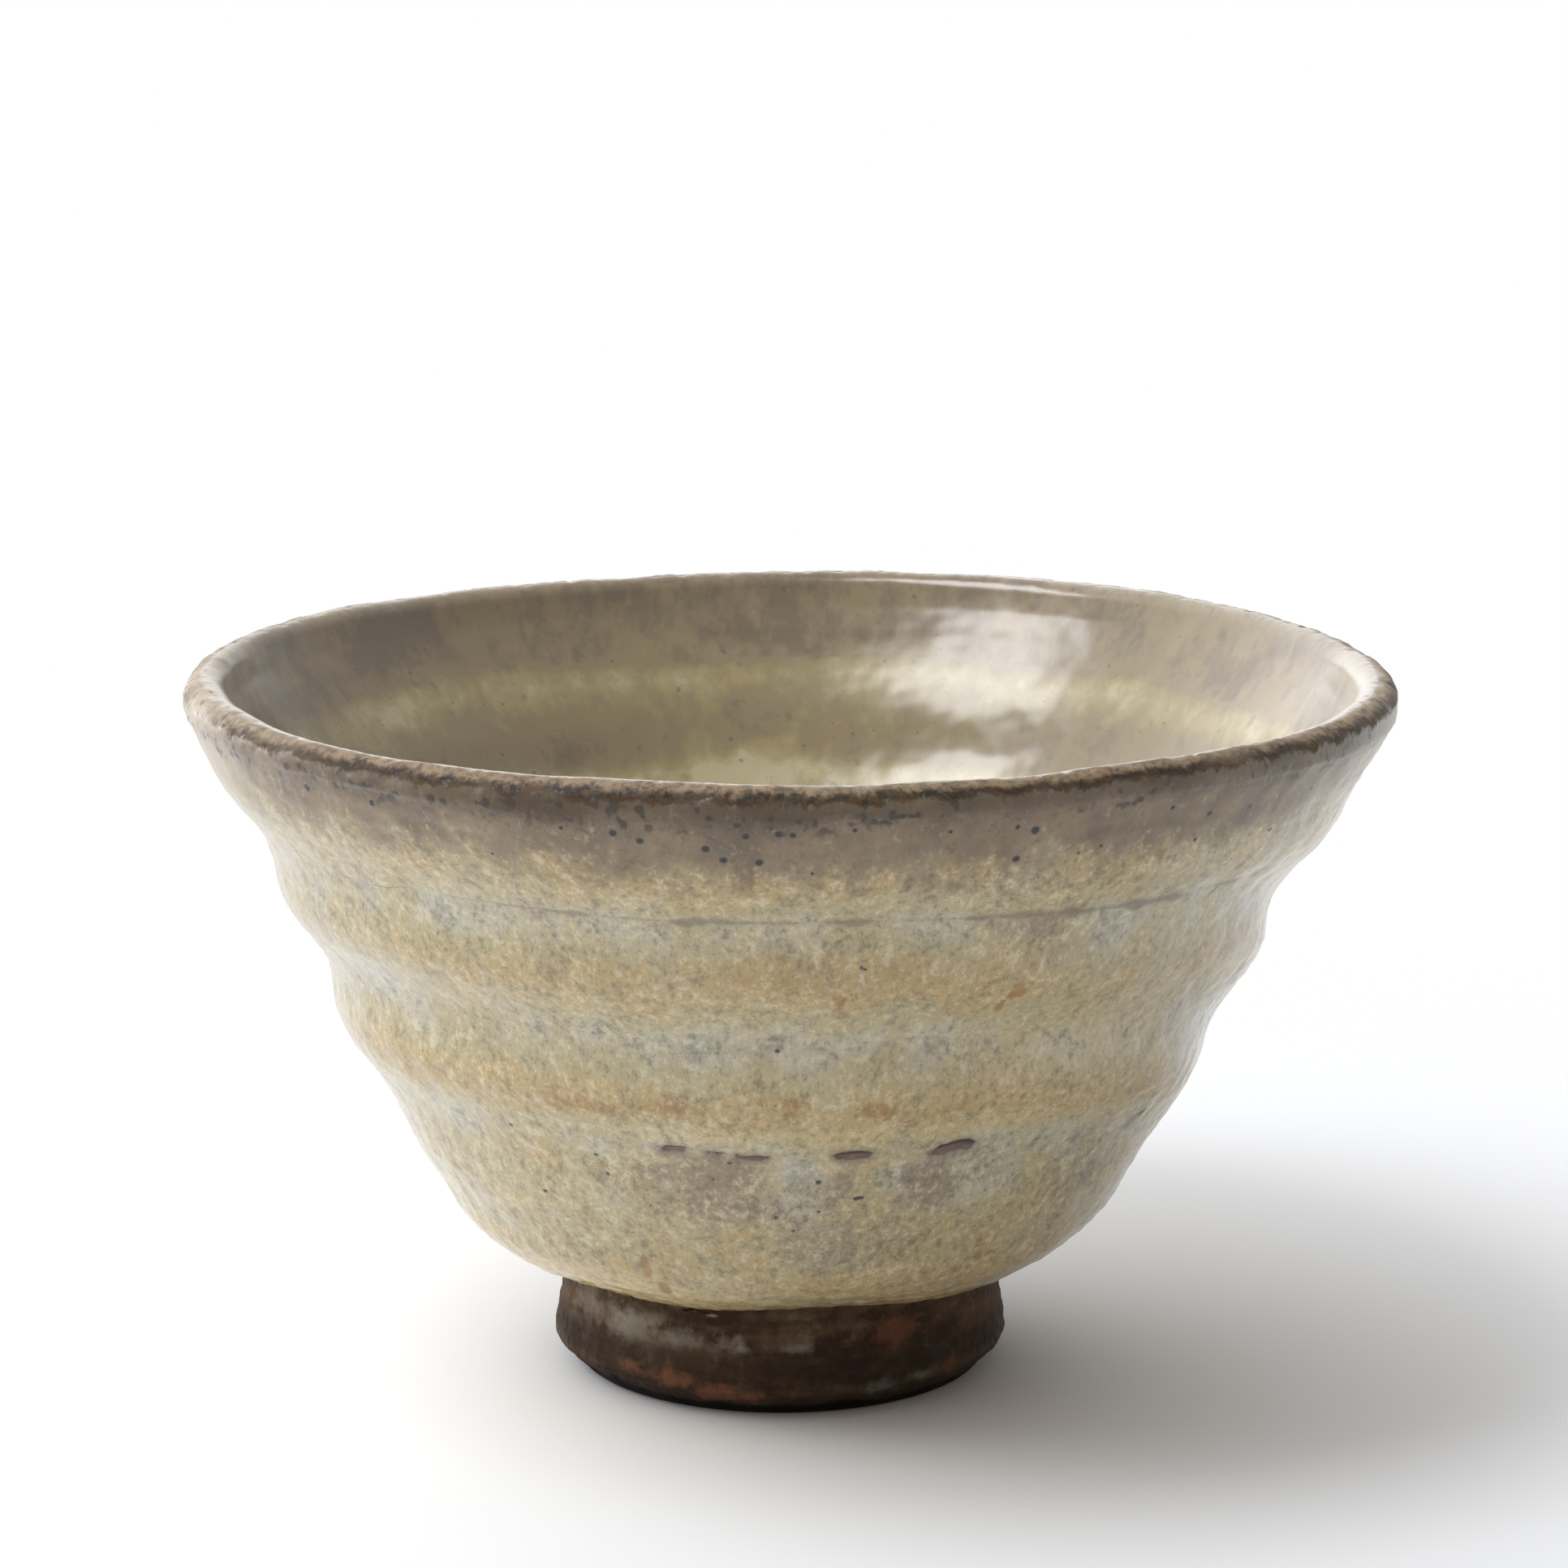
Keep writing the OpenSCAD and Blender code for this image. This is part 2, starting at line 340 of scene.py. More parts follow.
def by_height(table, z):
    """A table of shares of the way up, read on straight lines between its points."""
    return np.interp(share_up(z), *table.T)


def outside_r(z):
    """Radius of the smooth outside at a height, never inside the glaze's lower edge."""
    return np.maximum(SEAT_R + (LIP_R - SEAT_R) * eased(outline_shares, share_up(z)), line_r)


def inside_r(z):
    """Radius of the smooth inside: the outside less the wall's thickness."""
    return outside_r(z) - LIP_T - (WALL_T - LIP_T) * by_height(wall_shares, z)


print("belly radius at 12 mm:", round(float(outside_r(np.array(12.0))), 2))

# %% [markdown]
# The throwing ridge is one spiral: a finger rises 8.35 mm each turn and leaves a sine wave across
# the wall. Round the front the hand ran ahead, and the ridge lies up to 3 mm higher there. The lip
# was never trimmed level, so two slow waves run round it, and the hand took a little more off
# some directions than off others.

# %% Ridge, lift and lip wave
def lift_at(a):
    """Lift of the spiral above its even rise, in mm, for a direction in radians."""
    return RIDGE_PITCH * eased(lift_shares, (a + math.pi) % (2 * math.pi) / (2 * math.pi))


def ring_at(z, a):
    """The spiral's sine: 1 on a ridge, -1 in a groove."""
    return np.sin(2 * math.pi * (z - lift_at(a)) / RIDGE_PITCH + a + RIDGE_START)


def wave_at(a):
    """Drop of the lip: a wave of three low places and a sag of two low sides."""
    return -LIP_WAVE / 2 * (1 - np.cos(3 * (a - LIP_PEAK))) - LIP_SAG / 2 * (1 - np.cos(2 * (a - LIP_PEAK)))


lip_trim = np.array([(-180, 0.0), (-125, 0.0), (-105, -0.12), (-90, -0.26), (-75, -0.16), (-55, 0.0),
                     (0, 0.0), (60, 0.04), (90, 0.16), (120, 0.14), (150, 0.20), (170, 0.05), (180, 0.0)])


def by_direction(table, a):
    """A table of values at directions in degrees, read on straight lines between its points."""
    return np.interp(np.degrees(a), *table.T)


def axis_x(z):
    """The bowl leans, so the axis stands LEAN to the left at the foot and at 0 at the lip."""
    return -LEAN * (1 - share_up(z))


print("lip drops by", round(float(-wave_at(np.linspace(-np.pi, np.pi, 721)).min()), 2), "mm")

# %% [markdown]
# One list of rows describes the whole glazed skin: up the outside from the glaze's lower edge,
# over the lip and down to the well. Each row has a radius, a height, its shares of the ridge and of
# the lip's wave, and the thickness of glaze on it. Three coats are slices of this one list, so they
# meet exactly where the potter's dips meet.

# %% Rows of the section
ROLL_ROWS = 12
WALL_ROWS = 110
EDGE_ROWS = 22
LIP_ROWS = 26
INSIDE_ROWS = 84
WELL_ROWS = 36
# Rows of the wall lie closer together near the roll, by this power
CROWDING = 1.25
# The lip's round inner edge runs into the wall over this many mm
INNER_BLEND = 1.0


def outer_rows(z, glaze, radius_at=outside_r, ridges=ridge_shares):
    return np.stack([radius_at(z), z, by_height(ridges, z), by_height(wave_shares, z), glaze], 1)


def inner_rows(z, glaze):
    return outer_rows(z, glaze, inside_r, inside_ridge_shares)


def steps(count, first=0):
    return np.arange(first, count + 1) / count


lip_glaze_t = GLAZE_T * lip_glaze_share
lip_c = (LIP_R - LIP_T / 2, CUP_H - LIP_T / 2)
edge_z = lip_c[1] - LIP_T / 2 * math.sin(LIP_LEAN)
inner_edge_z = lip_c[1] + LIP_T / 2 * math.sin(LIP_LEAN)

s = steps(ROLL_ROWS)
roll_rows = outer_rows(FOOT_H + ROLL_H * s, GLAZE_T * np.interp(s, *roll_glaze_shares.T))
s = steps(WALL_ROWS, 1)
wall_rows = outer_rows(roll_z + (band_z - roll_z) * s ** CROWDING, GLAZE_T + 0 * s)
s = steps(EDGE_ROWS + 1, 1)[:-1]
edge_rows = outer_rows(band_z + (edge_z - band_z) * s, lip_glaze_t + 0 * s)
turn = -LIP_LEAN + math.pi * steps(LIP_ROWS)
lip_rows = np.stack([lip_c[0] + LIP_T / 2 * np.cos(turn), lip_c[1] + LIP_T / 2 * np.sin(turn),
                     0 * turn, 1 + 0 * turn, lip_glaze_t + 0 * turn], 1)
inner_edge_rows = inner_rows(inner_edge_z + (band_z - inner_edge_z) * s, lip_glaze_t + 0 * s)
overlap = inside_r(np.array([inner_edge_z])) - (lip_c[0] - LIP_T / 2 * math.cos(LIP_LEAN))
inner_edge_rows[:, 0] -= overlap * np.exp(-(inner_edge_z - inner_edge_rows[:, 1]) / INNER_BLEND)
s = steps(INSIDE_ROWS)
inside_rows = inner_rows(band_z + (well_z - band_z) * s, GLAZE_T + 0 * s)
s = steps(WELL_ROWS, 1)[:-1]
shrink = np.cos(math.pi / 2 * s)
well_rows = np.stack([inside_r(np.array([well_z])) * shrink, floor_z + WELL_H * shrink ** WELL_ORDER,
                      0 * s, 0 * s, GLAZE_T * (1 + (well_glaze_share - 1) * s)], 1)

rows = np.concatenate([roll_rows, wall_rows, edge_rows, lip_rows, inner_edge_rows, inside_rows, well_rows])
roll_end = ROLL_ROWS
wall_end = roll_end + WALL_ROWS
crest = wall_end + EDGE_ROWS + round(LIP_ROWS * (math.pi / 2 + LIP_LEAN) / math.pi)
band_end = wall_end + 2 * EDGE_ROWS + LIP_ROWS + 2
last = len(rows) - 1
along = np.concatenate([[0], np.cumsum(np.hypot(*np.diff(rows[:, :2], axis=0).T))])[:, None]
print("rows:", len(rows), "length of the section in mm:", round(float(along[-1, 0]), 1))

# %% [markdown]
# ## Unevenness
#
# Nothing on a thrown cup is smooth: fingers leave fine lines, glaze crawls and runs, grit pits the
# lip. Noise textures live in shaders only, and a bump doesn't change the outline, so the shape's
# own unevenness is worked out here: a sum of cosine waves that run in random directions. With a
# whole number of waves round the cup it closes without a seam.

# %% Seeded waves
MEAN_R = 28.0


def ripples(a, s, size, seed, stretch=1.0, count=36):
    """Smooth unevenness of spread 1: the sum of cos(m a + k s + shift) over waves whose length is
    about size mm, longer by stretch round the cup. m is whole, so that it closes on itself."""
    rng = np.random.default_rng(seed)
    way = rng.uniform(0, math.pi, count)
    pace = 2 * math.pi / (size * rng.uniform(0.7, 1.5, count))
    around = np.round(pace * MEAN_R * np.cos(way) / stretch)
    down = pace * np.sin(way)
    shift = rng.uniform(0, 2 * math.pi, count)
    total = sum(np.cos(m * a + k * s + f) for m, k, f in zip(around, down, shift))
    return total * math.sqrt(2 / count)


def bump_of(x, centre, width):
    """1 at the centre, falling off like a bell to nearly 0 two widths away."""
    return np.exp(-((x - centre) / width) ** 2)


def smooth(x, low, high):
    """0 at low, 1 at high and eased between them. low may be above high."""
    t = np.clip((x - low) / (high - low), 0, 1)
    return t * t * (3 - 2 * t)


def round_from(a, a0):
    """Angle from a0 to a, the short way, in radians."""
    return (a - a0 + math.pi) % (2 * math.pi) - math.pi


def bell_round(a, degrees, width):
    """A bell about one direction round the cup, width in radians."""
    return bump_of(round_from(a, math.radians(degrees)), 0, width)


# %% [markdown]
# ## Marks on the wall
#
# The photograph shows marks that no noise would put in the right place: iron specks, a row of bare
# dashes where a rib skipped and the clay shows, rusty stains, cloudy patches and warm straw-coloured
# ones. Each is an entry in a short list: direction in degrees (the front is -90) and height in mm,
# then a speck's radius, a dash's half length, half height and bow, or a patch's two half sizes in
# mm and its strength. The back isn't seen, so a few seeded specks and clouds carry the same
# character round it.

# %% Lists of marks
speck_marks = [
    (-139, 41.7, 0.28), (-130, 41.7, 0.25), (-122.5, 42.7, 0.34), (-121.2, 42.6, 0.28),
    (-105.3, 41.7, 0.26), (-103, 41.3, 0.26), (-97.3, 40.9, 0.27), (-95.8, 40.2, 0.27),
    (-92.7, 40.05, 0.28), (-93.8, 41.7, 0.24), (-91, 41.8, 0.26), (-89.8, 41.75, 0.2), (-68, 41.2, 0.33),
    (-69.3, 39.5, 0.27), (-69.8, 41.5, 0.16), (-49, 40.9, 0.2), (-43.7, 40.9, 0.16), (-38.5, 38.9, 0.2),
    (-49.8, 39.4, 0.14), (-60.8, 39.8, 0.12), (-63, 39.5, 0.1), (-88, 39.3, 0.12), (-117.6, 39.6, 0.1),
    (-110, 41.8, 0.16), (-84.5, 41.9, 0.15), (-76, 41.5, 0.13), (-54, 41.7, 0.16), (-58, 42.5, 0.2),
    (-34, 41.0, 0.16), (-82.6, 33.05, 0.17), (-82.25, 32.9, 0.13), (-91, 27.4, 0.2), (-44.5, 34.4, 0.12),
    (-68.4, 31.6, 0.08), (-128.4, 20.6, 0.17), (-115.8, 19.5, 0.16), (-114.7, 18.2, 0.14),
    (-126.3, 16.2, 0.18), (-97.1, 19.8, 0.17), (-85.3, 18.3, 0.2), (-79.9, 17.0, 0.18),
    (-79.1, 17.05, 0.18), (-91, 15.85, 0.15), (-88.5, 14.85, 0.12), (-85, 16.2, 0.12), (-109, 16.3, 0.1),
    (-99.5, 18.5, 0.12)]
dash_marks = [
    (-104.3, 20.60, 0.8, 0.24, 0.30), (-98.9, 20.30, 0.7, 0.12, 0.0), (-94.3, 20.10, 1.1, 0.17, -0.20),
    (-81.0, 20.02, 1.2, 0.38, 0.0), (-67.0, 20.05, 1.35, 0.42, 0.50), (-33.6, 19.6, 0.5, 0.2, 0.3)]
rust_marks = [
    (-112.6, 11.4, 0.32, 0.9, 1.7), (-110.8, 9.9, 0.34, 0.8, 1.8), (-65.2, 30.8, 0.5, 0.65, 1.9),
    (-66.5, 29.8, 0.28, 0.5, 1.7), (-84.6, 30.5, 0.3, 1.1, 1.0), (-79.0, 23.4, 1.5, 0.7, 0.95),
    (-75, 22.6, 1.2, 0.5, 0.6), (-104, 23.5, 2.2, 0.8, 0.75), (-96, 22.6, 2.0, 0.6, 0.45),
    (-115, 23.2, 2.6, 0.7, 0.7), (-89, 24.0, 1.0, 0.6, 0.75), (-136.5, 17.4, 0.5, 1.0, 0.3),
    (-147, 15.7, 1.2, 0.7, 0.3), (-53, 38.8, 0.9, 0.6, 0.6), (-107, 38.4, 1.1, 0.7, 0.5),
    (-128, 38.9, 0.9, 0.6, 0.35), (-51, 22.4, 1.2, 0.6, 0.4), (-57, 12.8, 0.6, 0.8, 0.4),
    (-43, 22.3, 1.2, 0.5, 0.3), (-120, 31.2, 0.5, 0.5, 0.35), (-88, 31.9, 0.35, 0.35, 0.35),
    (-127, 15.5, 0.6, 0.6, 0.3)]
brown_clouds = [
    (-113, 18.2, 2.2, 1.3, 0.6), (-107, 18.9, 2.0, 1.0, 0.85), (-99, 18.7, 2.8, 1.6, 0.95),
    (-98, 16.4, 3.4, 1.4, 0.7), (-83, 17.4, 1.5, 1.9, 0.7), (-69, 17.6, 1.7, 2.2, 0.95),
    (-66, 34.9, 4.5, 1.0, 0.6), (-84, 34.6, 3.0, 0.9, 0.35), (-92, 39.0, 3.5, 1.0, 0.4),
    (-72, 38.2, 5.0, 0.9, 0.35), (-80, 14.0, 5.0, 2.4, 0.5), (-35, 19.4, 0.8, 0.5, 0.7),
    (-106.5, 31.2, 0.9, 0.6, 0.5), (-57, 24.2, 1.6, 1.2, 0.35), (-40, 16.5, 4.0, 3.0, 0.5),
    (-101, 35.0, 1.0, 1.4, 0.35), (20, 33.0, 6.0, 1.6, 0.5), (70, 18.0, 7.0, 2.4, 0.5),
    (110, 27.0, 5.0, 1.4, 0.4), (150, 14.0, 5.0, 2.0, 0.4)]
pale_clouds = [
    (-87.5, 19.0, 1.2, 1.0, 1.2), (-74.5, 18.4, 1.4, 1.2, 1.2), (-117.5, 19.9, 1.8, 0.9, 0.8),
    (-52.5, 34.9, 1.9, 1.1, 0.7), (-57, 35.6, 1.0, 0.6, 0.5), (-103, 28.0, 5.0, 0.9, 0.4),
    (-111, 35.6, 3.4, 0.9, 0.4), (-83, 27.6, 3.0, 1.0, 0.45), (-56, 27.0, 2.4, 1.4, 0.45),
    (-106, 18.0, 0.9, 0.8, 0.6), (-97, 17.4, 0.9, 0.8, 0.45), (-60, 17.0, 1.6, 1.6, 0.35),
    (-82.2, 39.3, 0.5, 0.5, 0.6), (-137, 20.5, 4.0, 1.2, 0.4), (10, 27.5, 6.0, 1.2, 0.5),
    (60, 24.0, 6.0, 1.2, 0.5), (100, 19.5, 4.0, 1.4, 0.6), (145, 31.0, 6.0, 1.2, 0.5)]
straw_marks = [
    (-101, 21.7, 6.5, 0.9, 0.6), (-82, 21.5, 7.0, 0.9, 0.6), (-62, 21.5, 6.0, 0.9, 0.6),
    (-92, 25.7, 9.0, 1.1, 0.4), (-62, 24.8, 5.0, 1.2, 0.4), (-70, 29.2, 4.0, 0.8, 0.3),
    (-84, 19.3, 1.4, 0.8, 0.5), (-56, 25.6, 10.0, 4.6, 0.42), (-84, 24.6, 6.0, 1.4, 0.35),
    (-60, 18.2, 1.6, 1.8, 0.3), (80, 22, 8.0, 1.2, 0.4)]
BACK_SPECKS = 46
HIGH_SHARE = 0.55
rng = np.random.default_rng(12)
behind = rng.uniform(-20, 205, BACK_SPECKS)
heights = np.where(rng.random(BACK_SPECKS) < HIGH_SHARE, rng.uniform(38.5, 42.8, BACK_SPECKS),
                   rng.uniform(12, 36, BACK_SPECKS))
speck_marks += list(zip(behind, heights, rng.uniform(0.1, 0.27, BACK_SPECKS)))
print("specks:", len(speck_marks), "dashes:", len(dash_marks), "stains and clouds:",
      len(rust_marks) + len(brown_clouds) + len(pale_clouds) + len(straw_marks))

# %% [markdown]
# A mark becomes a field, a number at each vertex of the wall. A soft patch is a bell in both
# directions. A speck is far smaller than a face, so its field isn't its darkness but the way to its
# middle, in speck radii: that is a straight function of place, which faces carry without loss, and
# the shader draws the round edge from it. A third component keeps neighbours apart.

# %% Fields from marks
# The wall's slope at a mark is taken between two places this far below and above it, in mm
BESIDE = 0.1
# Speck fields stop growing this many radii away, and their third part is the gap squared over APART
FAR = 9.0
APART = 0.4


def offsets(a, z, mark):
    """Distance round and up from a mark, in mm along the wall."""
    level = max(mark[1], roll_z)
    around = round_from(a, math.radians(mark[0])) * outside_r(np.array(float(level)))
    below, above = outside_r(np.array([level - BESIDE, level + BESIDE]))
    slant = (above - below) / (2 * BESIDE) if mark[1] > roll_z else 0
    return around, (z - mark[1]) * math.hypot(1, slant)


def patches(a, z, marks):
    """The largest of the bells of a list of marks: strength exp(-(x/w)^2 - (y/h)^2)."""
    field = np.zeros(np.broadcast(a, z).shape)
    for mark in marks:
        x, y = offsets(a, z, mark)
        field = np.maximum(field, mark[4] * np.exp(-(x / mark[2]) ** 2 - (y / mark[3]) ** 2))
    return field


def speck_field(a, z, marks):
    """Way to the nearest speck in its radii, and a third part that grows with the distance."""
    best = np.full(np.broadcast(a, z).shape, FAR)
    field = np.full(best.shape + (3,), FAR)
    for mark in marks:
        x, y = offsets(a, z, mark)
        gap = np.hypot(x, y)
        nearer = gap / mark[2] < best
        best = np.where(nearer, gap / mark[2], best)
        way = np.stack(np.broadcast_arrays(x, y, gap ** 2 / APART), -1) / mark[2]
        field = np.where(nearer[..., None], way, field)
    return np.clip(field, -FAR, FAR)


def dash_field(a, z, marks):
    """How far inside a bare dash a place lies, in mm: half a height less the distance from a line
    that bows down towards its left end. The second field is the height above that line."""
    field = np.full(np.broadcast(a, z).shape, -1.0)
    above = np.zeros(field.shape)
    for mark in marks:
        x, y = offsets(a, z, mark)
        half, tall, bow = mark[2:]
        beyond = np.maximum(np.abs(x) - half + tall, 0)
        sunk = y + bow * ((x / half - 0.3) ** 2) * 0.5
        inset = tall - np.hypot(beyond, sunk)
        above = np.where(inset > field, sunk, above)
        field = np.maximum(field, inset)
    return field, np.clip(above, -1, 1)


# %% [markdown]
# ## How thick the glaze lies
#
# Where this ash glaze is thin it burns ochre, where it pools it turns to pale celadon and blue
# grey. Bands at the front follow the spiral, so their heights are given where the spiral crosses
# the front, and every other direction is led back to it. After a whole turn the spiral has climbed
# one pitch, so at the back the two readings are blended over a wide stretch.

# %% Thickness of the glaze, from -1 to 1
front_bands = np.array([
    (7.4, -0.6), (9.5, -0.45), (11.0, -0.22), (12.5, 0.0), (14.5, 0.05), (17, 0.12), (19.4, 0.25),
    (20.8, 0.38), (21.6, 0.26), (22.4, -0.28), (23.2, -0.58), (24.4, -0.42), (25.3, 0.05), (26.4, 0.40),
    (27.8, 0.62), (29.0, 0.40), (30.0, 0.02), (31.0, -0.30), (32.3, -0.34), (33.4, -0.16), (34.2, 0.18),
    (35.2, 0.34), (36.3, 0.26), (37.1, -0.05), (38.2, -0.28), (39.6, -0.26), (41, 0.0), (45, 0.0)])
FRONT = -math.pi / 2
SEAM_BLEND = math.radians(60)


def thickness_at(a, z, s):
    """The front's bands led round the spiral, with slow clouds and marks laid over them."""
    turned = round_from(a, FRONT)
    climb = RIDGE_PITCH * turned / (2 * math.pi)
    led = z + climb - lift_at(a) + lift_at(np.array(FRONT))
    other = led - np.sign(turned) * RIDGE_PITCH
    share = 0.5 * smooth(np.abs(turned), math.pi - SEAM_BLEND, math.pi)
    bands = (1 - share) * np.interp(led, *front_bands.T) + share * np.interp(other, *front_bands.T)
    clouds = 0.16 * ripples(a, s, 13, 21, stretch=2.6) + 0.13 * ripples(a, s, 5.5, 22, stretch=1.6)
    return bands + clouds + 0.7 * patches(a, z, pale_clouds)


# %% The line of the rib
RIB_LINE_Z = 36.0


def line_gap(a, z):
    """Distance in mm above the fine dark line that a rib left round the front. It is divided by a
    window that falls to nothing at both sides, so that the line thins out there."""
    degrees = np.degrees(a)
    heights = RIB_LINE_Z - 0.45 * smooth(degrees, -95, -45)
    heights = heights + 0.25 * np.sin(3 * a) * smooth(degrees, -100, -140)
    window = smooth(degrees, -132, -104) * smooth(degrees, -25, -48)
    return np.clip((z - heights) / np.maximum(window, 0.02), -1.5, 1.5)


# %% [markdown]
# ## The relief of the glazed skin
#
# The same fields push the surface in and out, so that the shape and the colour of a mark belong
# together: a dash is sunk to the clay, and the lip is pitted and nicked. Only what the CAD box
# allows stands out, and the lip loses material but never gains any.

# %% Where the relief starts and ends
top_s = float(along[crest, 0])
end_s = float(along[-1, 0])
LIP_REACH = 2.6
FINGER_LINE = 1.25
CALM_WITHIN = 4.0
CALM_UNTIL = 22.0


def off_centre(s):
    """0 at the middle of the well, 1 well away from it. Whole waves round the cup crowd together at
    the middle and would draw a star there, so they are faded out."""
    return smooth(end_s - s, CALM_WITHIN, CALM_UNTIL)


# %% Relief outward, in mm
def relief_at(a, z, s, outer):
    """Unevenness of the skin at a direction, height and length along the section: the sum of slow
    dents, finger lines and glaze, then the lip's pits, nicks and grains, then the marks. Each
    amount is in mm, and what is negative only takes away."""
    rim = bump_of(s, top_s, LIP_REACH)
    fingers = 0.10 * ripples(a, s, 26, 31) + 0.05 * ripples(a, s, 9, 32, stretch=2.5)
    lines = 0.022 * np.sin(2 * math.pi * s / FINGER_LINE + 1.6 * ripples(a, s, 12, 33, stretch=3)) \
        * (0.6 + 0.4 * ripples(a, s, 7, 34, stretch=4)) * np.where(outer, 1.0, 0.12)
    glaze = 0.020 * ripples(a, s, 3.0, 35) + 0.010 * ripples(a, s, 1.5, 36)
    calm = 1 - 0.6 * rim
    body = ((fingers + lines) * calm + glaze * np.where(outer, 1.0, 0.4)) * off_centre(s)
    scoured = rim * smooth(s, top_s + 0.9, top_s - 0.1)
    pits = -0.085 * np.clip(ripples(a, s, 1.0, 41, count=60) - 0.8, 0, 1.2) * scoured
    hand = -0.040 * (1.0 + ripples(a, s, 8, 42)).clip(0, 3.5) * rim
    grains = -0.012 * (1 + ripples(a, s, 0.6, 43, count=60)).clip(0, 2.5) * scoured
    scar = -0.20 * smooth(dash_field(a, z, dash_marks)[0], -0.12, 0.10) * outer
    seam = -0.06 * bump_of(line_gap(a, z), 0, 0.3) * outer
    edge = -0.16 * bump_of(s, 0, 0.40) + 0.04 * bump_of(s, 1.3, 0.8)
    return body + pits + hand + grains + scar + seam + edge


# %% The skin and the clay's face below it
WALL_COLUMNS = 640
RIM_COLUMNS = 1120


def directions(columns):
    return np.linspace(-math.pi, math.pi, columns, endpoint=False)[None, :]


def pushed(r, h, relief):
    """Rows of a section moved along their outward normal, which is a quarter turn from the way the
    rows run."""
    along_r, along_h = np.gradient(r, axis=0), np.gradient(h, axis=0)
    size = np.hypot(along_r, along_h)
    return r + relief * along_h / size, h - relief * along_r / size


def section(columns):
    """The glazed skin and the clay's face below it, as grids of radius and height.
    The skin is the section plus the relief along its normal, the clay lies a coat's thickness in."""
    a = directions(columns)
    radius, z, ridge, wave, coat_t = (rows[:, k:k + 1] for k in range(5))
    outer = np.arange(len(rows))[:, None] <= crest
    r = radius + ridge * RIDGE_DEPTH * ring_at(z, a)
    h = z + wave * (wave_at(a) + by_direction(lip_trim, a))
    skin_r, skin_h = pushed(r, h, relief_at(a, z, along, outer))
    skin = np.minimum(skin_r, LIP_R), np.minimum(skin_h, CUP_H)
    return {"a": a, "h": h, "skin": skin, "clay": pushed(r, h, -coat_t), "outer": outer}


wall = section(WALL_COLUMNS)
rim = section(RIM_COLUMNS)
print("relief spreads the skin from", round(float(wall["skin"][0].min()), 2), "to",
      round(float(rim["skin"][0].max()), 2), "mm radius")

# %% [markdown]
# ## From grids to pieces
#
# Each coat is a closed shell: up its glazed face and back down the clay's face, where fewer rows
# will do because nobody sees them. The bowl and the inside coat end in poles on the axis. One
# function makes the mesh of any such string of rows, and one stores the fields on its vertices.

# %% The mesh of a string of rows
SHARP = math.radians(50)


def place(r, h, a):
    """Radius, height and direction to x, y, z on the leaning axis."""
    return np.stack(np.broadcast_arrays(r * np.cos(a) + axis_x(h), r * np.sin(a), h), -1)


def turned_piece(name, points, fields, poles=()):
    """A shell from rows of points round the cup. Without poles the last row meets the first; with
    two poles the string's two ends close on the axis. Faces wind so that they look outward."""
    count, columns = points.shape[:2]
    grid = np.arange(count * columns).reshape(count, columns)
    low, high = (grid[:-1], grid[1:]) if poles else (grid, np.roll(grid, -1, 0))
    quads = np.stack([low, np.roll(low, -1, 1), np.roll(high, -1, 1), high], -1).reshape(-1, 4)
    faces = quads.tolist()
    if poles:
        first, end = grid[0], grid[-1]
        under = np.full(columns, grid.size)
        faces += np.stack([under, np.roll(first, -1), first], -1).tolist()
        faces += np.stack([under + 1, end, np.roll(end, -1)], -1).tolist()
    corners = np.concatenate([points.reshape(-1, 3), np.array(poles).reshape(-1, 3)]) * MM
    mesh = bpy.data.meshes.new(name)
    mesh.from_pydata(corners.tolist(), [], faces)
    mesh.shade_smooth()
    mesh.set_sharp_from_angle(angle=SHARP)
    for field, values in fields.items():
        wide = values.ndim == 3
        flat = values.reshape(-1, 3) if wide else values.reshape(-1)
        flat = np.concatenate([flat, np.repeat(flat[-1:], len(poles), axis=0)])
        layer = mesh.attributes.new(field, "FLOAT_VECTOR" if wide else "FLOAT", "POINT")
        layer.data.foreach_set("vector" if wide else "value", flat.astype(np.float32).ravel())
    piece = bpy.data.objects.new(name, mesh)
    bpy.context.scene.collection.objects.link(piece)
    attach(piece, "root")
    print(name, "has", len(faces), "faces")
    return piece


def thinned(first, end, every):
    """Row numbers from first to end, a few at a time, with both ends kept."""
    way = 1 if end >= first else -1
    picked = np.arange(first, end, way * every)
    return np.append(picked, end)


def string_of(skin_rows, clay_rows, cut, clay_first=False):
    """Points and row numbers of a string that runs along the skin and along the clay's face."""
    skin = place(cut["skin"][0][skin_rows], cut["skin"][1][skin_rows], cut["a"])
    clay = place(cut["clay"][0][clay_rows], cut["clay"][1][clay_rows], cut["a"])
    parts = ((clay, clay_rows), (skin, skin_rows)) if clay_first else ((skin, skin_rows), (clay, clay_rows))
    return np.concatenate([p for p, _ in parts]), np.concatenate([n for _, n in parts])


def picked(fields, numbers):
    return {name: values[numbers] for name, values in fields.items()}


# %% [markdown]
# ## What the glaze does from place to place
#
# Some things change with the height and others only with the direction. The fire came from one
# side: the lip is scorched round the front, the iron glaze runs further down in some directions, and
# the gloss inside fades towards the left. Each is a table of a few places, and it joins the marks
# and the thickness as a field. The crown of the lip is a field too: the way over the lip, 0 at its
# top and below 0 outside it.

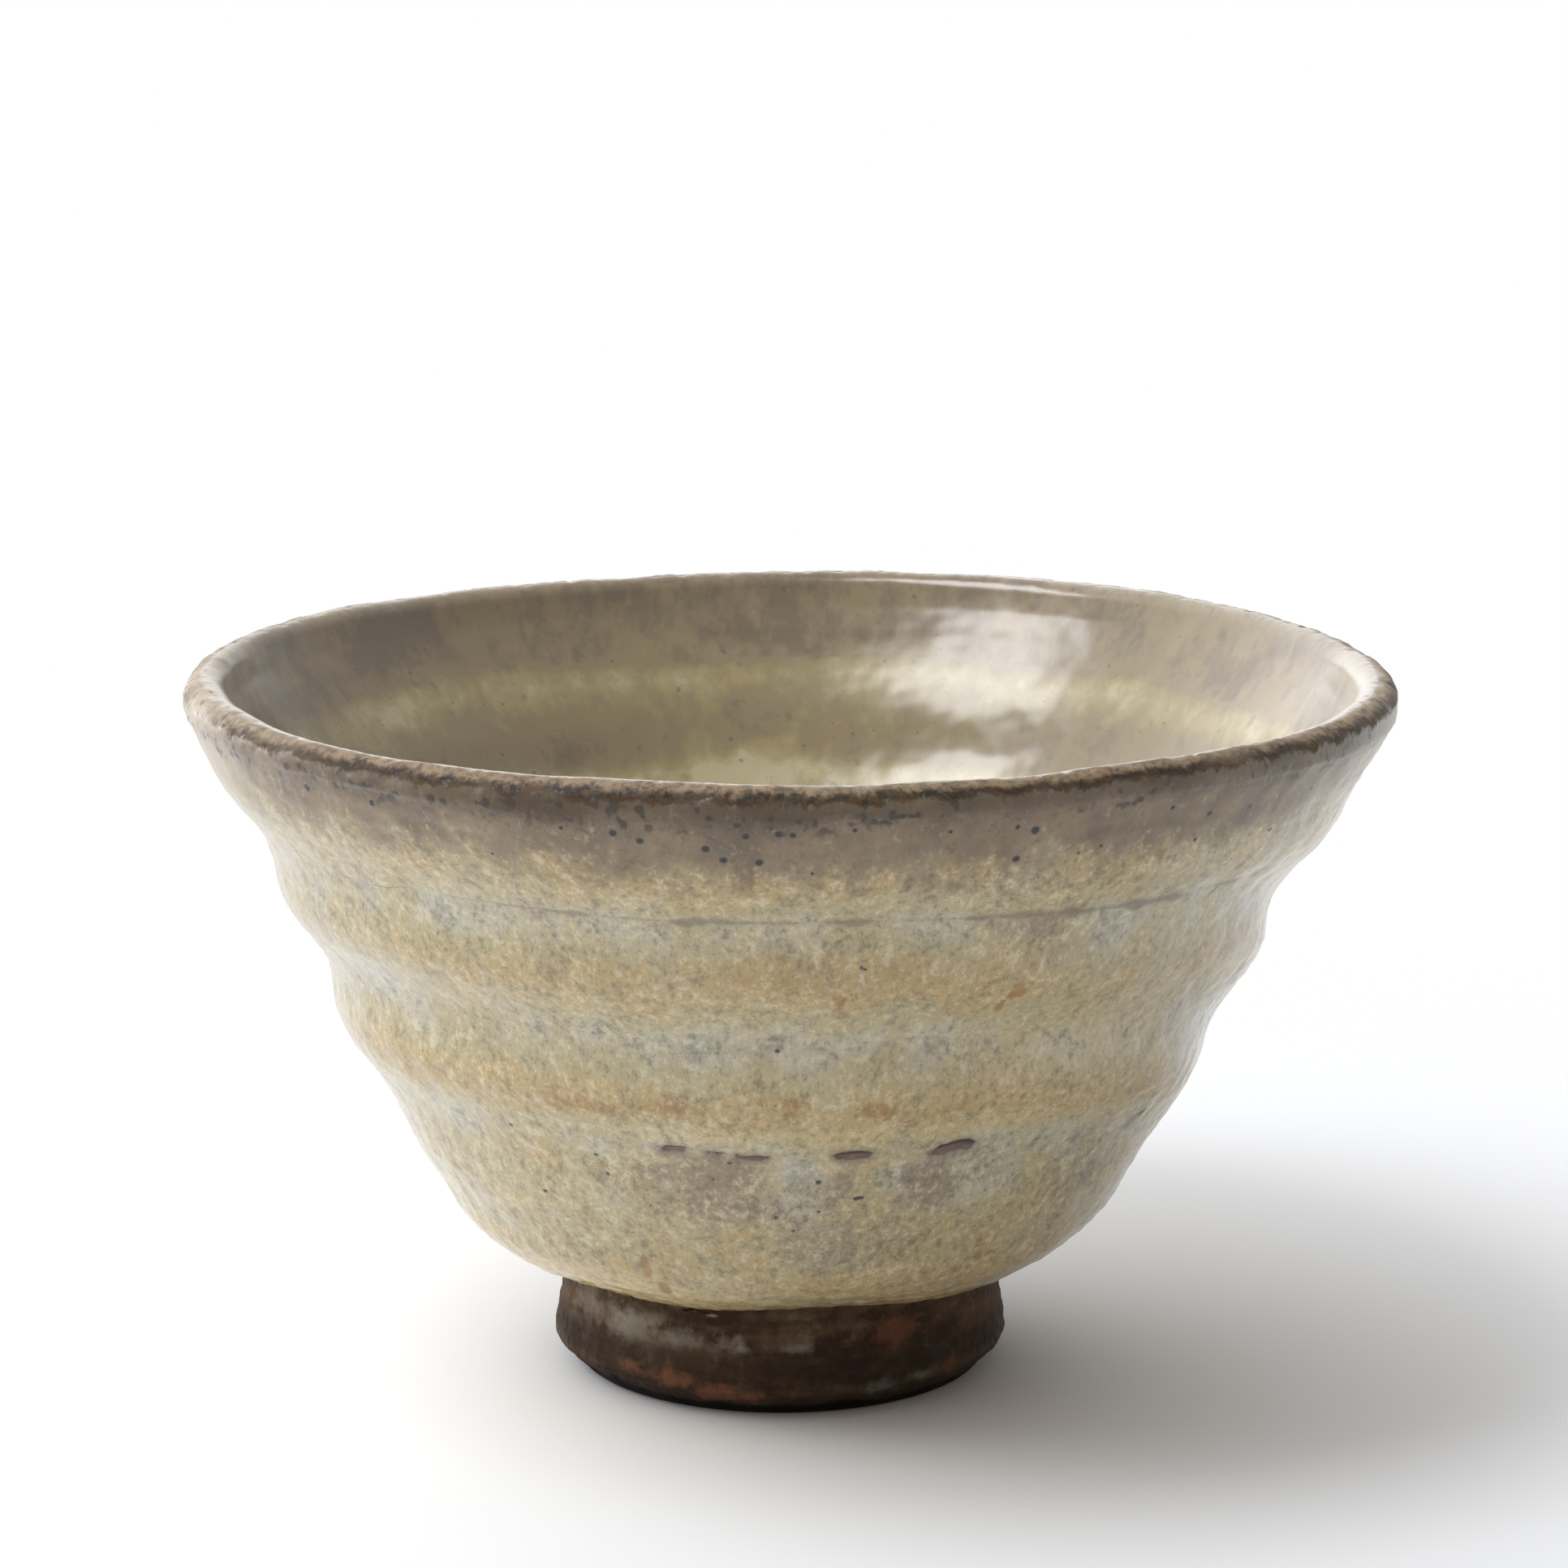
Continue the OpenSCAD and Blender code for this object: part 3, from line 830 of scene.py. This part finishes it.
# %% Tables by height inside the cup and by direction
inside_bands = np.array([
    (10, 0.62), (12, 0.70), (15, 0.80), (19, 0.62), (21, 0.78), (24, 0.55), (27, 0.74), (30, 0.66),
    (31.5, 0.80), (32.4, 0.76), (33.3, 0.38), (34.2, 0.30), (35.2, 0.32), (36.6, 0.40), (37.4, 0.56),
    (38.2, 0.68), (38.9, 0.58), (39.6, 0.26), (41, 0.18), (43, 0.20), (45, 0.2)])
scorch_shares = np.array([(-180, 0.15), (-145, 0.3), (-128, 0.9), (-108, 1), (-85, 1), (-60, 0.72),
                          (-15, 0.65), (15, 0.45), (45, 0.1), (140, 0.0), (180, 0.15)])
shine_shares = np.array([(-180, 0.25), (-130, 0.8), (-90, 1), (60, 1), (85, 0.75), (110, 0.6), (140, 0.5),
                         (160, 0.25), (180, 0.25)])
iron_drops = np.array([(-180, 0.7), (-145, 0.9), (-125, 0.7), (-104, -0.4), (-85, 0.1), (-55, 0.1),
                       (-35, 0.7), (0, 0.6), (180, 0.7)])
# Left and right sides, in degrees, where a pale painted sheen lies on the iron band; width in radians
PAINTED_SHEEN_SIDES = (-168, -10)
PAINTED_SHEEN_W = 0.38
# Below these heights, on the left side, pale colour is painted in as bounce light from the floor
PAINTED_BOUNCE_LOW = 8.6
PAINTED_BOUNCE_HIGH = 12.0
IRON_FROM = 36.9
IRON_FULL = 41.2
CROWN_W = 3.0
print("the iron glaze starts between", IRON_FROM + iron_drops[:, 1].min(), "and",
      IRON_FROM + iron_drops[:, 1].max(), "mm")

# %% Fields of the glazed skin
def glaze_fields(cut):
    """Every field that the glaze's finish reads, at each vertex of a section."""
    a, z = cut["a"], cut["h"]
    s = along + 0 * a
    ragged = 0.30 * ripples(a, s, 3.2, 51) + 0.25 * ripples(a, s, 9, 52, stretch=2)
    inner_z = z + 0.12 * ripples(a, s, 8, 61, stretch=2.5) * off_centre(s)
    bare, overhang = dash_field(a, z, dash_marks)
    return {
        "thick": thickness_at(a, z, s),
        "iron": smooth(z + ragged - by_direction(iron_drops, a), IRON_FROM, IRON_FULL),
        "crown": np.clip((s - top_s) / CROWN_W + 0.035 * ripples(a, s, 2.2, 53), -2, 2),
        "shine": by_direction(shine_shares, a) + 0 * s,
        "scorch": by_direction(scorch_shares, a) + 0.10 * ripples(a, s, 6, 55),
        # Straw patches, and low on the left side pale colour painted in as bounce light from the floor
        "straw": 1.3 * smooth(z, PAINTED_BOUNCE_HIGH, PAINTED_BOUNCE_LOW) * bell_round(a, -142, 0.8)
        + patches(a, z, straw_marks),
        "bloom": sum(bell_round(a, degrees, PAINTED_SHEEN_W) for degrees in PAINTED_SHEEN_SIDES) + 0 * s,
        "rust": patches(a, z, rust_marks),
        "brown": patches(a, z, brown_clouds) + 0.10 * ripples(a, s, 6, 54, stretch=1.5).clip(0, 3),
        "bare": bare,
        "overhang": overhang,
        "speck": speck_field(a, z, speck_marks),
        "ribline": line_gap(a, z),
        "inner": np.where(cut["outer"], 0.0, 1.0) + 0 * a,
        "band": np.interp(inner_z, *inside_bands.T) + 0.05 * ripples(a, s, 6, 62, stretch=2) * off_centre(s),
    }


wall_fields = glaze_fields(wall)
rim_fields = glaze_fields(rim)
print("fields:", sorted(wall_fields))

# %% The coats and the bowl
def coat(name, cut, fields, first, end, every):
    points, numbers = string_of(np.arange(first, end + 1), thinned(end, first, every), cut)
    return turned_piece(name, points, picked(fields, numbers))


ash_glaze = coat("ash_glaze", wall, wall_fields, roll_end, wall_end, 5)
ochre_roll = coat("ochre_roll", wall, wall_fields, 0, roll_end, 4)
iron_lip = coat("iron_lip", rim, rim_fields, wall_end, band_end, 6)

well_top = (float(axis_x(floor_z)), 0, floor_z)
well_clay = (well_top[0], 0, floor_z - GLAZE_T * well_glaze_share)
points, numbers = string_of(np.arange(band_end, last + 1), thinned(last, band_end, 5), wall, clay_first=True)
inside_glaze = turned_piece("inside_glaze", points, picked(wall_fields, numbers), (well_clay, well_top))

clay_rows = thinned(0, last, 3)
columns = slice(None, None, 2)
a = wall["a"][:, columns]
seat = place(np.array([[SEAT_R]]), np.array([[FOOT_H]]), a)
body = place(wall["clay"][0][clay_rows, columns], wall["clay"][1][clay_rows, columns], a)
thrown_bowl = turned_piece("thrown_bowl", np.concatenate([seat, body]), {},
                           ((float(axis_x(FOOT_H)), 0, FOOT_H), well_clay))

# %% [markdown]
# ## The foot
#
# The foot was cut from the leather-hard clay with a turning tool: a ring, a hollow inside it and a
# small knob where the tool left the centre. Its profile is a handful of corners. They are walked in
# even steps and averaged over a short stretch, which rounds them as a wet finger does. The tool
# left fine rings on its side, years of use have chipped the worn edge below, and the flat it stands
# on stays flat.

# %% The foot's profile
RING_W = 4.6
HOLLOW_H = 3.8
HOLLOW_TAPER = 0.8
INNER_BEVEL = 0.5
KNOB_H = 0.9
KNOB_D = 6.4
FOOT_WORN = 1.8
STEP = 0.16
ROUNDING = 5
hollow_r = FOOT_R - RING_W
across = np.linspace(0, 1, 9)
knob = np.stack([KNOB_D / 2 * across, HOLLOW_H - KNOB_H / 2 * (1 + np.cos(math.pi * across))], 1)
foot_corners = np.concatenate([knob, [
    (hollow_r - HOLLOW_TAPER, HOLLOW_H), (hollow_r, INNER_BEVEL), (hollow_r + INNER_BEVEL, 0),
    (FOOT_R - FOOT_WORN, 0), (FOOT_R, FOOT_WORN), (SEAT_R, FOOT_H)]])
walked = np.concatenate([[0], np.cumsum(np.hypot(*np.diff(foot_corners, axis=0).T))])
foot_s = np.linspace(0, walked[-1], int(walked[-1] / STEP))
foot_line = np.stack([np.interp(foot_s, walked, c) for c in foot_corners.T], 1)
window = np.ones(ROUNDING) / ROUNDING
padded = np.pad(foot_line, ((ROUNDING // 2, ROUNDING // 2), (0, 0)), mode="edge")
foot_line = np.stack([np.convolve(c, window, "valid") for c in padded.T], 1)
foot_line[0, 0] = STEP / 2
foot_line[-1] = (SEAT_R, FOOT_H)
foot_end = float(walked[-1])
print("rows along the foot:", len(foot_line))

# %% The relief of the foot
FOOT_COLUMNS = 640
TURNING_LINE = 1.05
FLAT_ABOVE = 0.8
a = directions(FOOT_COLUMNS)
s = foot_s[:, None]
radius, height = foot_line[:, :1], foot_line[:, 1:]
worn_s, widest_s = walked[-3], walked[-2]
worn = bump_of(s, (worn_s + widest_s) / 2, 1.3)
side = smooth(s, worn_s, widest_s)
ends = smooth(s, 0, 2) * smooth(s, foot_end, foot_end - 0.4)
turned_lines = 0.035 * np.sin(2 * math.pi * s / TURNING_LINE + 0.8 * ripples(a, s, 14, 71, stretch=8)) * side
slow = 0.05 * ripples(a, s, 12, 72, stretch=3) + 0.022 * ripples(a, s, 3.5, 73, stretch=2)
chips = -0.05 * np.clip(ripples(a, s, 3.4, 74, stretch=1.6, count=60) - 0.35, 0, 1) * worn
grain = 0.014 * ripples(a, s, 0.9, 75, stretch=2, count=60)
waist = -0.10 * bump_of(s, foot_end - 2.6, 1.5)
relief = (turned_lines + slow + chips + grain + waist) * ends * smooth(height, 0.0, FLAT_ABOVE)
foot_r, foot_h = pushed(radius, height, relief)
foot_r, foot_h = np.minimum(foot_r, FOOT_R), np.maximum(foot_h, 0)
foot_points = np.stack(np.broadcast_arrays(foot_r * np.cos(a) - LEAN, foot_r * np.sin(a), foot_h), -1)
print("rows and columns of the foot:", foot_points.shape[:2])

# %% [markdown]
# The kiln coloured the foot from side to side: pale ash settled on it where it faced the flame, and
# on the left side that pale grey also stands in for a painted sheen; bare spots turned fox red. The
# lowest edge is black, partly dark clay and partly painted contact shadow. A crack and a drop of slip
# sit under the roll at the left. They are given as the marks on the wall are, by direction and height.

# %% The turned foot
CRACK_Z = 6.7
SLIP_Z = 6.45
up = height + 0 * a
# Pale ash; the wide patches on the left side also stand in for a painted sheen
ash_and_sheen_marks = [
    (-131, 5.1, 3.2, 1.2, 0.95), (-117, 4.8, 3.0, 0.8, 0.7), (-104, 5.0, 2.0, 0.6, 0.4),
    (-148, 5.4, 2.6, 1.4, 0.6), (-100, 4.6, 0.6, 0.35, 0.8), (-86, 4.6, 1.3, 0.35, 0.75),
    (-66, 1.7, 1.8, 0.5, 0.7), (-53, 2.2, 1.6, 0.45, 0.8), (-59, 1.3, 1.2, 0.3, 0.6),
    (30, 5.0, 3.0, 1.0, 0.5), (120, 4.6, 4.0, 1.2, 0.6)]
fox_marks = [
    (-59, 5.2, 2.2, 1.1, 1.35), (-118, 2.3, 2.0, 0.75, 1.1), (-107, 1.7, 2.2, 0.75, 1.1),
    (-98, 1.6, 2.0, 0.5, 0.8), (-131, 2.5, 1.4, 0.7, 0.8), (-78, 5.2, 2.0, 0.7, 0.35),
    (-42, 2.3, 1.0, 0.5, 0.8), (-92, 3.6, 3.0, 0.5, 0.25), (40, 2.4, 3.0, 0.6, 0.7),
    (100, 1.8, 4.0, 0.5, 0.8), (160, 4.6, 2.0, 0.8, 0.6)]
foot_fields = {
    "low": bump_of(up, 3.2, 0.9) * 0.6 + smooth(up, 2.4, 1.0) * 0.5,
    # The lowest edge black: partly dark clay, partly painted contact shadow
    "edge": (smooth(up, 1.3, 0.35) + 0.12 * ripples(a, s, 5, 78)) * smooth(s, worn_s - 0.5, worn_s + 0.2),
    "fox": patches(a, up, fox_marks),
    "ash": patches(a, up, ash_and_sheen_marks) + 0.12 * ripples(a, s, 4, 77, stretch=2).clip(0, 2) * side,
    "crack": bump_of(up, CRACK_Z + 0.10 * np.sin(60 * a), 0.10) * bell_round(a, -113, 0.09),
    "slip": bump_of(up, SLIP_Z, 0.16) * bell_round(a, -108, 0.04),
}
turned_foot = turned_piece("turned_foot", foot_points, foot_fields,
                           ((-LEAN, 0, float(foot_line[0, 1])), (-LEAN, 0, FOOT_H)))

# %% [markdown]
# ## The finish of the glaze
#
# The finish reads the fields and adds what is smaller than a face: a mottle of fine cells, freckles
# where iron breaks through, and a surface that is nearly but not quite smooth. All patterns sit in
# the cup's own coordinates, in millimetres. Painted image textures could show the same, but noise
# has detail at any distance and no seam. Each colour is a stack: a base, and plain colours laid
# over it in the order in which the kiln made them. Gloss follows the chemistry: pooled glaze is
# shinier, thin ochre and iron are drier, bare clay is matt.

# %% Reading fields and noise
def finish_start(name):
    """An empty material and the wire that its nodes grow from."""
    material = bpy.data.materials.new(name)
    material.use_nodes = True
    return material, blank_tree(material.node_tree)


def field(start, name, out="Fac"):
    """A field stored on the mesh."""
    return start.node("ShaderNodeAttribute", {"attribute_name": name}, {}, out)


def cloud(start, size, squeeze, shift, detail=2.0, rough=0.55):
    """Noise around 0, from about -0.5 to 0.5, whose blots are about size mm wide and size/squeeze
    mm high. The shift takes each cloud from a place of its own."""
    scale = [v / (size * MM) for v in (1, 1, squeeze)]
    spot = start.node("ShaderNodeTexCoord", {}, {}, "Object")
    scaled = start.node("ShaderNodeMapping", {}, {
        "Vector": spot, "Location": (shift, shift, shift), "Scale": scale})
    return start.node("ShaderNodeTexNoise", {}, {
        "Vector": scaled, "Scale": 1.0, "Detail": detail, "Roughness": rough}) - 0.5


def solid(start, hexes):
    """A plain colour as a wire."""
    tone = start.node("ShaderNodeRGB")
    tone.socket.default_value = paint(hexes)
    return tone


# %% Colours of the outside
def outside_finish(start):
    """Colour of the outside in layers: bands by thickness, stains, straw patches with painted bounce
    light low on the left, a sponge of pale and dark cells, pits, rust and the rib's line, then the
    mauve iron glaze with a painted sheen at its left and right sides. The noises and the share of iron
    come back too, because roughness and bump follow them."""
    cells = cloud(start, 1.3, 0.7, 3.1, detail=4, rough=0.66)
    fine = cloud(start, 0.5, 0.8, 7.7, detail=4, rough=0.75)
    runs = cloud(start, 1.2, 0.2, 1.9)
    patch = cloud(start, 3.8, 0.8, 5.3, detail=3)
    pits = cloud(start, 0.3, 0.8, 11.3)
    sponge = fine + cells * 0.4
    thick = field(start, "thick") + patch * 2.1 + cells * 1.6 + fine * 1.1 + runs * 0.7
    stain = field(start, "brown") + cells * 0.9 + runs * 0.5 + fine * 0.8
    straw = field(start, "straw") + cells * 0.5
    rust = field(start, "rust") + cells * 1.2 + fine * 1.2
    line = field(start, "ribline")
    near = line.maths("ABSOLUTE", line) + (patch * 1.8 + cells * 1.5 + fine * 0.9) * 0.8 + 0.04
    ash = solid(start, "c6b991").painted(
        ("c9b07d", thick.between(0.15, -0.60)),
        ("b3894b", (thick - patch * 0.8).between(-0.60, -1.25) * 0.85),
        ("cdc7af", thick.between(0.20, 0.80)),
        ("b3afa1", (thick + patch * 1.2).between(0.65, 1.35) * 0.8),
        ("9e8a77", stain.between(0.08, 0.85) * 0.8),
        # Straw patches, and painted bounce light low on the left side
        ("eed69a", straw.between(0.0, 1.2) * 0.95),
        ("7a6f52", sponge.between(0.00, 0.16) * 0.50),
        ("f2ecd2", sponge.between(-0.02, -0.16) * 0.50),
        ("6f6345", pits.between(0.15, 0.22) * 0.45),
        ("a5742a", rust.between(0.12, 1.0) * 0.72),
        ("655b54", near.between(0.36, 0.0) * 0.62))
    # A pale painted sheen on the mauve iron band at the cup's left and right sides
    bloom = field(start, "bloom") + cells * 0.6
    mauve = solid(start, "77695a").painted(
        ("9a8871", (patch * 1.8 + cells * 1.6 + fine).between(-0.4, 0.4)),
        ("c0b29b", sponge.between(-0.05, -0.22) * 0.4),
        ("574c3e", sponge.between(0.03, 0.20) * 0.45),
        ("ddd2c4", bloom.between(0.1, 1.1) * 0.75))
    iron = (field(start, "iron") + cells * 0.9 + runs * 0.9 + fine * 0.6).between(-0.12, 1.12)
    return ash.under(mauve, iron), cells, fine, iron


# %% Colours of specks and of bare dashes
def marks_over(start, colour, cells, fine):
    """Specks with a soft blue-black halo, and bare clay where a dash cuts the glaze, with painted shade
    below the glaze that overhangs it."""
    way = field(start, "speck", "Vector")
    gap = start.node("ShaderNodeVectorMath", {"operation": "LENGTH"}, {0: way}, "Value") + fine * 1.2
    inset = field(start, "bare") + fine * 0.45 + cells * 0.30
    bare = inset.between(-0.07, 0.07)
    # Painted shade on the clay just below the glaze that overhangs a dash
    overhang_shade = (field(start, "overhang") + fine * 0.4).between(0.02, 0.16) * inset.between(-0.12, -0.02)
    clay = solid(start, "4e3c34").painted(("806658", (cells + fine).between(-0.2, 0.2)))
    colour = colour.painted(
        ("6d6966", gap.between(2.1, 0.8) * 0.5),
        ("26262b", gap.between(1.25, 0.65) * 0.94),
        ("8c7a6c", inset.between(-0.65, 0.0) * 0.6))
    return colour.under(clay, bare * 0.9).painted(("2b201b", overhang_shade * 0.85)), bare


# %% Colours of the lip
def crown_over(start, colour, cells, fine):
    """The lip's crown: dull brown over the top, and a scorched rusty band on its outer edge that
    fades into sooty pits below."""
    crown = field(start, "crown")
    scorch = field(start, "scorch")
    grit = cloud(start, 0.45, 1, 9.2, detail=4, rough=0.7)
    wide = cloud(start, 5.0, 1, 2.2)
    uneven = grit * 0.42 + fine * 0.22
    ragged = crown + uneven
    low = (ragged - wide * 0.6).between(-1.30, -0.65) * ragged.between(-0.1, -0.4)
    soot = (cloud(start, 0.85, 1, 5.9, detail=1) + grit * 0.2 + wide * 0.25).between(0.07, 0.20)
    soot = soot * crown.between(-1.35, -0.85) * crown.between(0.3, -0.4)
    on_top = ragged.between(-0.40, -0.26) * ragged.between(0.62, 0.10)
    line = (ragged + cells * 0.2).between(-0.56, -0.43)
    line = line * (crown + uneven * 0.6 + cells * 0.1).between(-0.18, -0.34)
    worn = (scorch + cells * 1.6 + grit * 0.8).between(0.05, 0.75)
    top = solid(start, "655441").painted(
        ("9a8468", (grit * 2.2 + cells * 1.5 + fine).between(-0.40, 0.30)))
    rust = solid(start, "140d07").painted(
        ("4f3a21", (grit * 2.4 + fine * 1.5 + cells * 1.6).between(-0.30, 0.26)))
    colour = colour.painted(("4e3d28", low * scorch * 0.8), ("2f2922", soot * 0.8))
    colour = colour.under(top, on_top * (scorch * 0.55 + 0.35)).under(rust, line * worn * 0.96)
    return colour, on_top.most(line) * crown.between(0.05, -0.10)


# %% Colours of the inside
inside_tones = ((0.05, "75644a"), (0.26, "917f5d"), (0.40, "8f7f5a"), (0.54, "9c8c60"), (0.70, "aa9c72"),
                (0.85, "bdb28c"))


def inside_finish(start):
    """Rings of mauve brown, greenish cream and olive down the inside, with runs between them, then
    dark blots where the glaze is thin, dots and motes."""
    cells = cloud(start, 1.3, 0.7, 2.4, detail=3, rough=0.6)
    fine = cloud(start, 0.5, 0.7, 4.6, rough=0.6)
    runs = cloud(start, 1.6, 0.1, 6.1)
    patch = cloud(start, 6.0, 0.5, 8.8)
    blots = cloud(start, 2.6, 0.6, 5.5) + cells * 0.3
    dots = cloud(start, 1.3, 0.8, 3.3, detail=1)
    motes = cloud(start, 0.7, 1, 7.1, detail=1)
    band = field(start, "band") + cells * 0.50 + fine * 0.20 + runs * 0.45 + patch * 0.55
    stops = [(place, paint(hexes)) for place, hexes in inside_tones]
    return start.node("ShaderNodeValToRGB", {"stops": stops}, {0: band}).painted(
        ("5c4d38", blots.between(0.06, 0.26) * band.between(0.60, 0.30) * 0.45),
        ("5d5342", dots.between(0.16, 0.30) * 0.45),
        ("3f382f", motes.between(0.22, 0.30) * 0.5))


# %% Put the finishes together
INSIDE_HAZE = 0.21


def finished(start, colour, rough, height, relief_mm, coat=0.0, sheen=0.35, coat_rough=0.12):
    """The closing shader: colour, roughness, a bump of a few hundredths of a millimetre, and a clear
    coat for the glassy face of the glaze."""
    dent = start.node("ShaderNodeBump", {}, {"Strength": 1.0, "Distance": relief_mm * MM, "Height": height})
    shader = start.node("ShaderNodeBsdfPrincipled", {}, {
        "Base Color": colour, "Roughness": rough, "Normal": dent, "IOR": 1.5,
        "Specular IOR Level": sheen, "Coat Weight": coat, "Coat Roughness": coat_rough, "Coat IOR": 1.6})
    start.node("ShaderNodeOutputMaterial", {}, {"Surface": shader})


def outside_material(name, rough_share):
    material, start = finish_start(name)
    colour, cells, fine, iron = outside_finish(start)
    colour, bare = marks_over(start, colour, cells, fine)
    rough = rough_share + 0.10 * iron - field(start, "thick") * 0.05 + cells * 0.12 + bare * 0.35
    finished(start, colour, rough, cells * 0.5 + fine * 0.8, 0.10, coat=0.7 - 0.4 * iron)
    return material


def lip_material():
    material, start = finish_start("iron_lip_glaze")
    inner = field(start, "inner")
    outside, cells, fine, iron = outside_finish(start)
    outside, _ = marks_over(start, outside, cells, fine)
    colour, crown = crown_over(start, outside.under(inside_finish(start), inner), cells, fine)
    rough = 0.34 + 0.26 * crown + cells * 0.15 - inner * 0.10 * (1 - crown)
    height = (cells * 0.4 + fine * 0.6) * (1 - 0.7 * inner)
    gloss = (0.7 - 0.4 * iron) * (1 - inner) + field(start, "shine") * inner
    finished(start, colour, rough, height, 0.07, coat=gloss * (1 - crown), coat_rough=INSIDE_HAZE)
    return material


def inside_material():
    material, start = finish_start("inside_ash_glaze")
    fine = cloud(start, 0.5, 1, 4.4)
    cells = cloud(start, 1.6, 0.6, 2.9)
    finished(start, inside_finish(start), 0.24 + cells * 0.08, cells * 0.6 + fine * 0.3, 0.02,
             coat=field(start, "shine"), coat_rough=INSIDE_HAZE)
    return material


# %% [markdown]
# ## The finish of the bare clay
#
# The foot is the only clay that shows: iron-bearing stoneware, nearly black where the kiln's smoke
# reduced it, fox red where it is worn, with a dusting of ash on one side, lightened there by a
# painted sheen. Its lowest edge is black, partly dark clay and partly painted contact shadow. It
# reads the foot's fields, and the noise between them keeps any edge from being clean. The bowl's
# own clay is hidden by the glaze and needs no fields.

# %% Clay
def clay_material(name, with_fields):
    material, start = finish_start(name)
    grit = cloud(start, 0.9, 1, 1.3, detail=4, rough=0.68)
    patch = cloud(start, 3.6, 1.6, 6.6, detail=3)
    rings = cloud(start, 8.8, 8.8, 4.9)
    colour = solid(start, "3e2d22").painted(
        ("705a46", (patch * 1.3 + rings + grit * 1.2).between(-0.35, 0.35)),
        ("85705a", (patch * 1.1 + grit * 1.2 - 0.10).between(0.0, 0.35) * 0.6))
    if with_fields:
        ash = field(start, "ash")
        dim = (field(start, "low") + grit * 0.5 + patch * 0.5).between(-0.15, 0.55)
        fox = field(start, "fox") * 0.9 + grit * 1.5 + patch * 0.6
        edge = field(start, "edge") + grit * 0.6 + patch * 0.4
        slip = field(start, "slip") + grit * 0.8
        colour = colour.painted(
            # Pale ash, on the left side also a painted sheen
            ("b0aa9e", (ash * 0.9 + grit * 1.5 + patch * 0.5).between(0.10, 1.15) * 0.8),
            ("241a14", dim * 0.7),
            ("7f5440", fox.between(0.20, 0.95) * 0.8),
            ("78725e", (ash + grit * 2.5).between(0.55, 1.0) * dim * 0.6),
            # Black lowest edge: partly dark clay, partly painted contact shadow
            ("080504", edge.between(0.10, 0.70) * 0.96),
            ("a99d86", slip.between(0.4, 0.9) * 0.7),
            ("0d0a08", field(start, "crack").between(0.3, 0.6)))
    finished(start, colour, 0.66 + patch * 0.25 + grit * 0.2, grit + rings * 0.5, 0.12, sheen=0.1)
    return material


# %% Dress the pieces
def dress(piece, material, node):
    piece.data.materials.append(material)
    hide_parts(node)


dress(ash_glaze, outside_material("ash_glaze_outside", 0.30), "outer_glaze")
dress(ochre_roll, outside_material("ash_glaze_roll", 0.22), "glaze_roll")
dress(iron_lip, lip_material(), "lip_glaze")
dress(inside_glaze, inside_material(), "inner_glaze")
dress(thrown_bowl, clay_material("bowl_clay", False), "clay_bowl")
dress(turned_foot, clay_material("foot_clay", True), "foot")
